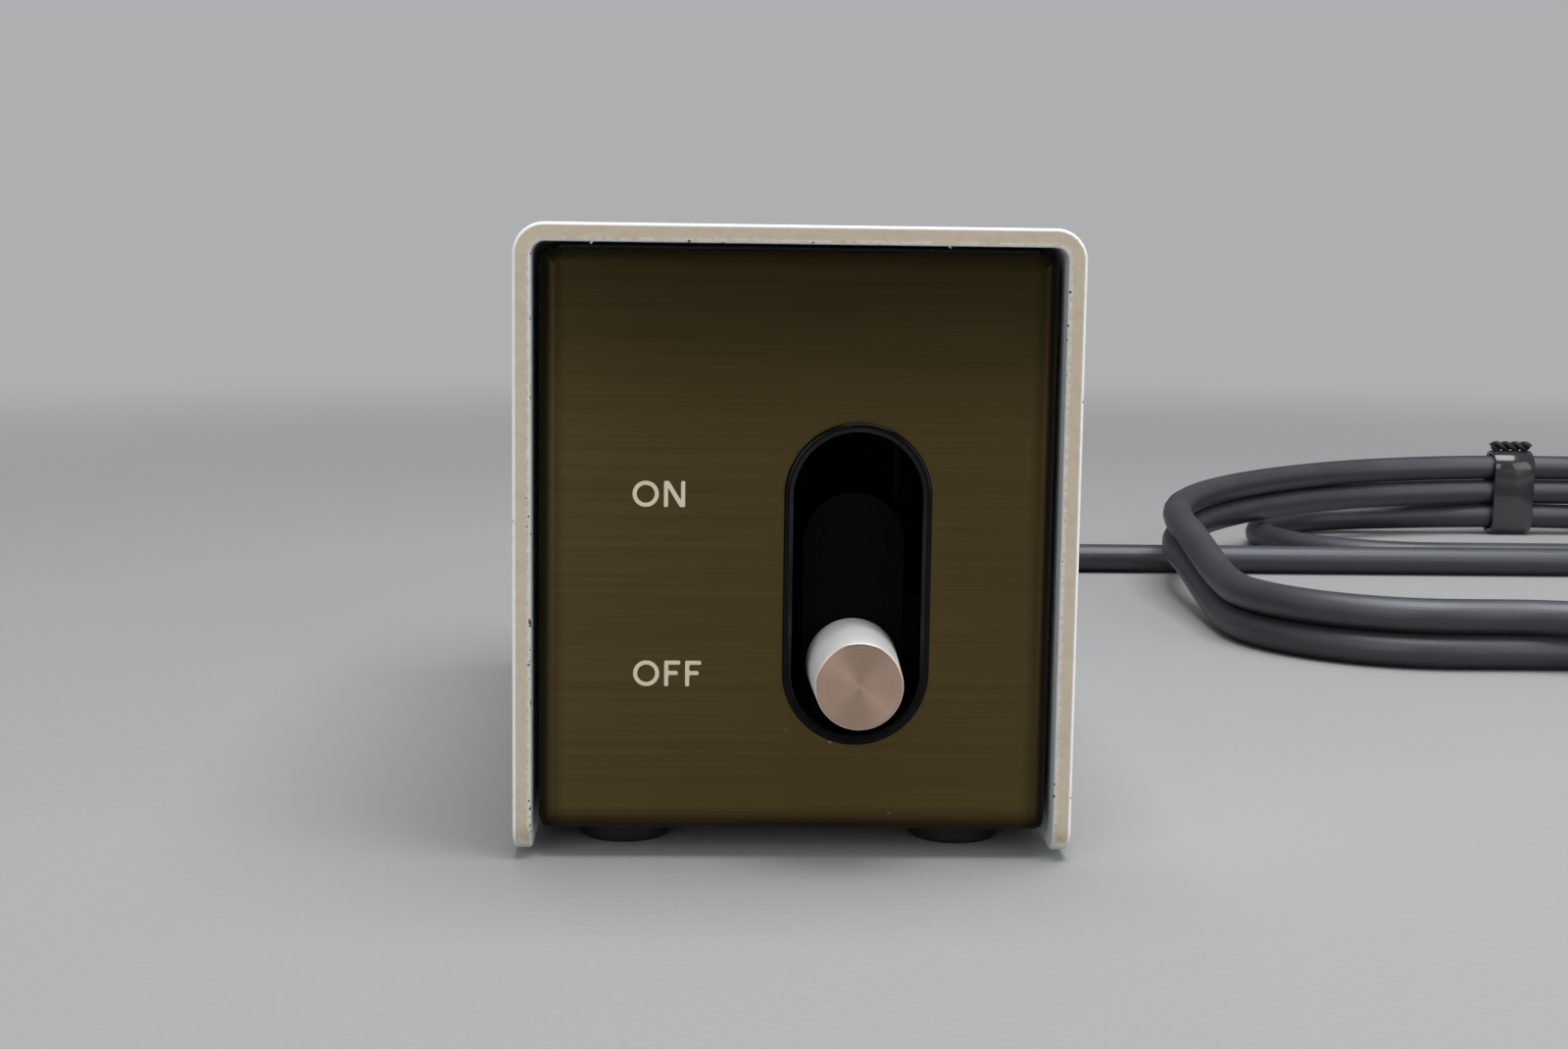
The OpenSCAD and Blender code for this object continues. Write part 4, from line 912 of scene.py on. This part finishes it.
# Tie: a flat strip round the stack of rear runs, with its ends twisted together on top

TIE_W = 0.012
TIE_EDGE = 0.00025
TIE_SIDES = 48
TIE_ENDS_LEN = 0.013
TIE_ENDS_D = 0.0032
TIE_ENDS_SINK = 0.0004
TWISTS = 2
TWIST_STEPS = 40
WIRE_R = TIE_ENDS_D / 4
WIRE_SIDES = 8


def tie_strip(bm, middle, half_span, inner):
    """A closed strip with eased edges, of two half rounds and two straight sides."""
    half_w = TIE_W / 2
    section = [(0, -half_w + TIE_EDGE), (TIE_EDGE, -half_w)]
    section += [(TIE_T - TIE_EDGE, -half_w), (TIE_T, -half_w + TIE_EDGE)]
    section += [(out, -wide) for out, wide in reversed(section)]
    loops = []
    for k in range(TIE_SIDES):
        angle = 2 * math.pi * k / TIE_SIDES
        offset = half_span if math.sin(angle) > 0 else -half_span
        loop = []
        for out, wide in section:
            radius = inner + out
            place = (wide, radius * math.cos(angle), radius * math.sin(angle) + offset)
            loop.append(bm.verts.new(middle + Vector(place)))
        loops.append(loop)
    for first, second in zip(loops, loops[1:] + loops[:1]):
        bridge(bm, first, second)


def tie_wire(bm, middle, phase):
    """One of the two twisted ends: a round wire with closed ends."""
    line = []
    for k in range(TWIST_STEPS + 1):
        u = k / TWIST_STEPS
        angle = phase + 2 * math.pi * TWISTS * u
        twist = Vector((0, WIRE_R * math.cos(angle), WIRE_R * math.sin(angle)))
        line.append(middle + twist + Vector(((u - 0.5) * (TIE_ENDS_LEN - 2 * WIRE_R), 0, 0)))
    rings = []
    for k, place in enumerate(line):
        way = (line[min(k + 1, TWIST_STEPS)] - line[max(k - 1, 0)]).normalized()
        rings.append(ring(bm, place, way, WIRE_R, WIRE_SIDES))
    for first, second in zip(rings, rings[1:]):
        bridge(bm, first, second)
    bm.faces.new(rings[0][::-1])
    bm.faces.new(rings[-1])


def make_tie():
    low, high = (EXIT + coil_place(t) for t in (TIE_AT[0], TIE_AT[-1]))
    middle = (low + high) / 2
    half_span = (high.z - low.z) / 2
    inner = CORD_R + TIE_GAP
    bm = bmesh.new()
    tie_strip(bm, middle, half_span, inner)
    strip_faces = len(bm.faces)
    top = half_span + inner + TIE_T + TIE_ENDS_D / 2 - TIE_ENDS_SINK
    for phase in (0, math.pi):
        tie_wire(bm, middle + Vector((0, 0, top)), phase)
    bm.faces.ensure_lookup_table()
    for face in bm.faces[strip_faces:]:
        face.material_index = 1
    bmesh.ops.recalc_face_normals(bm, faces=bm.faces)
    mesh = smooth(mesh_of("twist_tie", bm), angle=60)
    piece = add_piece("twist_tie", mesh, "tie_plastic", stands_for=["cord_tie"])
    mesh.materials.append(finish_of["bush_rubber"])
    return piece


gland = make_bush()
sleeve = make_sleeve()
tie = make_tie()
for hand, sign in (("left", 1), ("right", -1)):
    make_tail(hand, sign)

# The solids that stay: each gets its finish, and most get fine rounding on their edges

SLOT_NODES = {
    "cover_paint": ["top_cover"],
    "chassis_steel": ["chassis", "switch_frame"],
    "panel_bronze": ["front_panel"],
    "rear_paint": ["rear_panel"],
    "steel_screw": ["foot_screws", "front_panel_screws", "switch_screws", "can_screws"],
    "black_screw": ["cover_screws", "rear_panel_screws"],
    "escutcheon_plastic": ["escutcheon"],
    "knob_aluminium": ["knob"],
    "shaft_steel": ["knob_shaft", "guide_rod_left", "guide_rod_right", "detent_ball", "detent_spring"],
    "shutter_plastic": ["slide_shutter"],
    "phenolic": ["contact_carrier", "switch_board"],
    "contact_brass": ["wiper_contacts", "jack_contact_left", "jack_contact_right"],
    "shaded_contact": ["fixed_contacts"],
    "jack_metal": ["jack_shell_left", "jack_shell_right", "jack_nuts", "ground_post", "ground_nut",
                   "plug_contact_left", "plug_contact_right"],
    "wire_red": ["input_wires"],
    "wire_blue": ["output_wires"],
    "foot_rubber": ["foot_front_left", "foot_front_right", "foot_rear_left", "foot_rear_right"],
    "can_shield": ["can_left", "can_right"],
    "core_iron": ["core_left", "core_right"],
    "bobbin_plastic": ["bobbin_left", "bobbin_right"],
    "winding_copper": ["primary_left", "primary_right", "secondary_left", "secondary_right"],
    "jack_white": ["jack_insulator_left"],
    "jack_red": ["jack_insulator_right"],
}
EDGE = 0.00015
FOOT_EDGE = 0.0004
EDGES = {"top_cover": 0.00045, "escutcheon": 0.0002, "chassis": 0.0003, "rear_panel": 0.0003}
EDGES |= {foot: FOOT_EDGE for foot in SLOT_NODES["foot_rubber"]}
UNROUNDED = ("knob", "front_panel", "input_wires", "output_wires", "detent_ball", "ground_nut",
             "can_left", "can_right")


def round_edges(solid, width):
    weld = solid.modifiers.new("weld", "WELD")
    weld.merge_threshold = TINY
    flat = solid.modifiers.new("flat", "DECIMATE")
    flat.decimate_type = "DISSOLVE"
    flat.angle_limit = 0.001
    bevel = solid.modifiers.new("bevel", "BEVEL")
    bevel.width = width
    bevel.segments = 3
    bevel.angle_limit = math.radians(40)
    bevel.use_clamp_overlap = False
    bevel.loop_slide = False


def dress(node, slot):
    solid = nodes[node]
    if not solid.material_slots:
        solid.data.materials.append(finish_of[slot])
    for place in solid.material_slots:
        place.material = finish_of[slot]
    if node not in UNROUNDED:
        round_edges(solid, EDGES.get(node, EDGE))
    normals = solid.modifiers.new("normals", "WEIGHTED_NORMAL")
    normals.weight = 80
    normals.keep_sharp = False


for slot, names in SLOT_NODES.items():
    for node in names:
        dress(node, slot)

# Words beside the slot, in cream ink: each with the X and Z of its middle

WORDS = {"label_upper": ("ON", (-0.0190, 0.0514)), "label_lower": ("OFF", (-0.0177, 0.0264))}
INK = painted("cream_ink", srgb(214, 202, 180), rough=0.5, peel=0.0003, depth=0.00001)
INK_T = 0.00006
CAP_H = 0.0036
STROKE = 0.00056
LETTER_GAP = 0.0007
LETTER_ROUND = 0.4 * STROKE
O_W = 0.0036
N_W = 0.0029
N_SLANT = 1.25 * STROKE
F_W = 0.0022
F_BAR_W = 0.85 * F_W
F_BAR_H = 0.52 * CAP_H


def rounded(points, radius, steps=4):
    """A closed outline with its corners rounded."""
    outline = []
    for k, corner in enumerate(points):
        corner = Vector(corner)
        before = (Vector(points[k - 1]) - corner).normalized()
        after = (Vector(points[(k + 1) % len(points)]) - corner).normalized()
        for i in range(steps + 1):
            u = i / steps
            outline.append(corner + radius * ((1 - u) ** 2 * before + u ** 2 * after))
    return outline


def oval(width, height, sides=40):
    angles = [2 * math.pi * k / sides for k in range(sides)]
    return [Vector((width / 2 * (1 + math.cos(a)), height / 2 * (1 + math.sin(a)))) for a in angles]


def letter_o():
    hole = [p + Vector((STROKE, STROKE)) for p in oval(O_W - 2 * STROKE, CAP_H - 2 * STROKE)]
    return [oval(O_W, CAP_H), hole], O_W


def letter_n():
    slope = CAP_H / (N_W - N_SLANT)
    rise = slope * STROKE
    points = [(0, 0), (STROKE, 0), (STROKE, CAP_H - rise), (N_W - N_SLANT, 0), (N_W, 0)]
    points += [(N_W, CAP_H), (N_W - STROKE, CAP_H), (N_W - STROKE, rise), (N_SLANT, CAP_H), (0, CAP_H)]
    return [rounded(points, LETTER_ROUND)], N_W


def letter_f():
    low = F_BAR_H - STROKE / 2
    high = F_BAR_H + STROKE / 2
    arm = CAP_H - STROKE
    points = [(0, 0), (STROKE, 0), (STROKE, low), (F_BAR_W, low), (F_BAR_W, high), (STROKE, high)]
    points += [(STROKE, arm), (F_W, arm), (F_W, CAP_H), (0, CAP_H)]
    return [rounded(points, LETTER_ROUND)], F_W


# Each letter's outlines and its width
LETTERS = {"O": letter_o(), "N": letter_n(), "F": letter_f()}


def make_word(name, word, middle):
    data = bpy.data.curves.new(name, "CURVE")
    data.dimensions = "2D"
    data.fill_mode = "BOTH"
    data.extrude = INK_T / 2
    letters = [LETTERS[sign] for sign in word]
    x = -(sum(width for _, width in letters) + LETTER_GAP * (len(word) - 1)) / 2
    for outlines, width in letters:
        for outline in outlines:
            spline = data.splines.new("POLY")
            spline.points.add(len(outline) - 1)
            for point, place in zip(spline.points, outline):
                point.co = (x + place.x, place.y - CAP_H / 2, 0, 1)
            spline.use_cyclic_u = True
        x += width + LETTER_GAP
    data.materials.append(INK)
    piece = bpy.data.objects.new(name, data)
    upright = Matrix.Rotation(math.pi / 2, 4, "X")
    piece.matrix_world = Matrix.Translation((middle[0], PANEL_LOW.y, middle[1])) @ upright
    scene.collection.objects.link(piece)
    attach(piece, "housing")


for name, (word, middle) in WORDS.items():
    make_word(name, word, middle)

# Studio: a pale floor that fades into an even backdrop, a soft light overhead and two wide fills

FLOOR_COLOUR = srgb(168, 169, 170)
BACKDROP = srgb(174, 175, 177)
FLOOR_HALF = 12.0
FADE_START = 0.32
FADE_END = 0.95
SKY_LEVEL = 0.6
SEEN_LEVEL = 1.0
MIRRORED_LEVEL = 0.28
# Lights: the place of each, the point that it faces, its width and height, and its power in watts
LIGHTS = {
    "overhead": ((0.2, -0.05, 1.05), (0.2, -0.05, 0.0), (0.8, 0.8), 10.5),
    "left_fill": ((-0.7, -1.2, 0.5), (0.0, 0.0, 0.05), (0.9, 0.8), 5.5),
    "right_fill": ((0.95, -0.75, 0.4), (0.0, 0.0, 0.05), (1.0, 0.9), 4.2),
}


def floor_finish():
    """Pale paper, which the camera sees as the even backdrop further out."""
    finish = Finish("floor_paper")
    fibre = finish.noise(size=0.0012, detail=4.0)
    cloud = finish.noise(size=0.2, detail=2.0)
    tone = finish.plus(finish.times(fibre, 0.5), finish.times(cloud, 0.5))
    finish.colour(finish.blend(tone, shade(FLOOR_COLOUR, 0.94), shade(FLOOR_COLOUR, 1.06)))
    finish.roughness(finish.ease(fibre, *NOISE_SPAN, 0.75, 0.9))
    finish.bump((fibre, 0.00008))
    middle = (cad_low + cad_high) / 2
    ends = {0: finish.place, 1: (middle.x, middle.y, 0)}
    away = finish.node("VectorMath", ends, operation="DISTANCE").outputs["Value"]
    far = finish.ease(away, FADE_START, FADE_END)
    seen = finish.times(far, finish.node("LightPath").outputs["Is Camera Ray"])
    glow = finish.node("Emission", {"Color": BACKDROP}).outputs[0]
    mixed = finish.node("MixShader", {0: seen, 1: finish.shader.outputs[0], 2: glow}).outputs[0]
    finish.put(finish.tree.nodes["Material Output"].inputs["Surface"], mixed)
    return finish.material


def make_floor():
    bm = bmesh.new()
    corners = ((-1, -1), (1, -1), (1, 1), (-1, 1))
    bm.faces.new([bm.verts.new((FLOOR_HALF * x, FLOOR_HALF * y, 0)) for x, y in corners])
    mesh = mesh_of("floor", bm)
    mesh.materials.append(floor_finish())
    floor = bpy.data.objects.new("floor", mesh)
    scene.collection.objects.link(floor)


def make_sky():
    """An even sky as pale as the backdrop, which lights less and is mirrored dimly."""
    world = bpy.data.worlds.new("studio")
    scene.world = world
    world.use_nodes = True
    tree = world.node_tree
    path = tree.nodes.new("ShaderNodeLightPath")
    sky = tree.nodes["Background"]
    sky.inputs["Color"].default_value = BACKDROP
    fed = sky.inputs["Strength"]
    for kind, level in (("Is Glossy Ray", MIRRORED_LEVEL), ("Is Camera Ray", SEEN_LEVEL)):
        step = tree.nodes.new("ShaderNodeMath")
        step.operation = "MULTIPLY_ADD"
        tree.links.new(path.outputs[kind], step.inputs[0])
        step.inputs[1].default_value = level - SKY_LEVEL
        tree.links.new(step.outputs[0], fed)
        fed = step.inputs[2]
    fed.default_value = SKY_LEVEL


def area_light(name, place, target, size, power):
    data = bpy.data.lights.new(name, "AREA")
    data.shape = "RECTANGLE"
    data.size, data.size_y = size
    data.energy = power
    lamp = bpy.data.objects.new(name, data)
    lamp.location = place
    lamp.visible_camera = False
    lamp.rotation_euler = (Vector(target) - Vector(place)).to_track_quat("-Z", "Y").to_euler()
    scene.collection.objects.link(lamp)


make_floor()
make_sky()
for name, (place, target, size, power) in LIGHTS.items():
    area_light(name, place, target, size, power)
scene.view_settings.view_transform = "Standard"
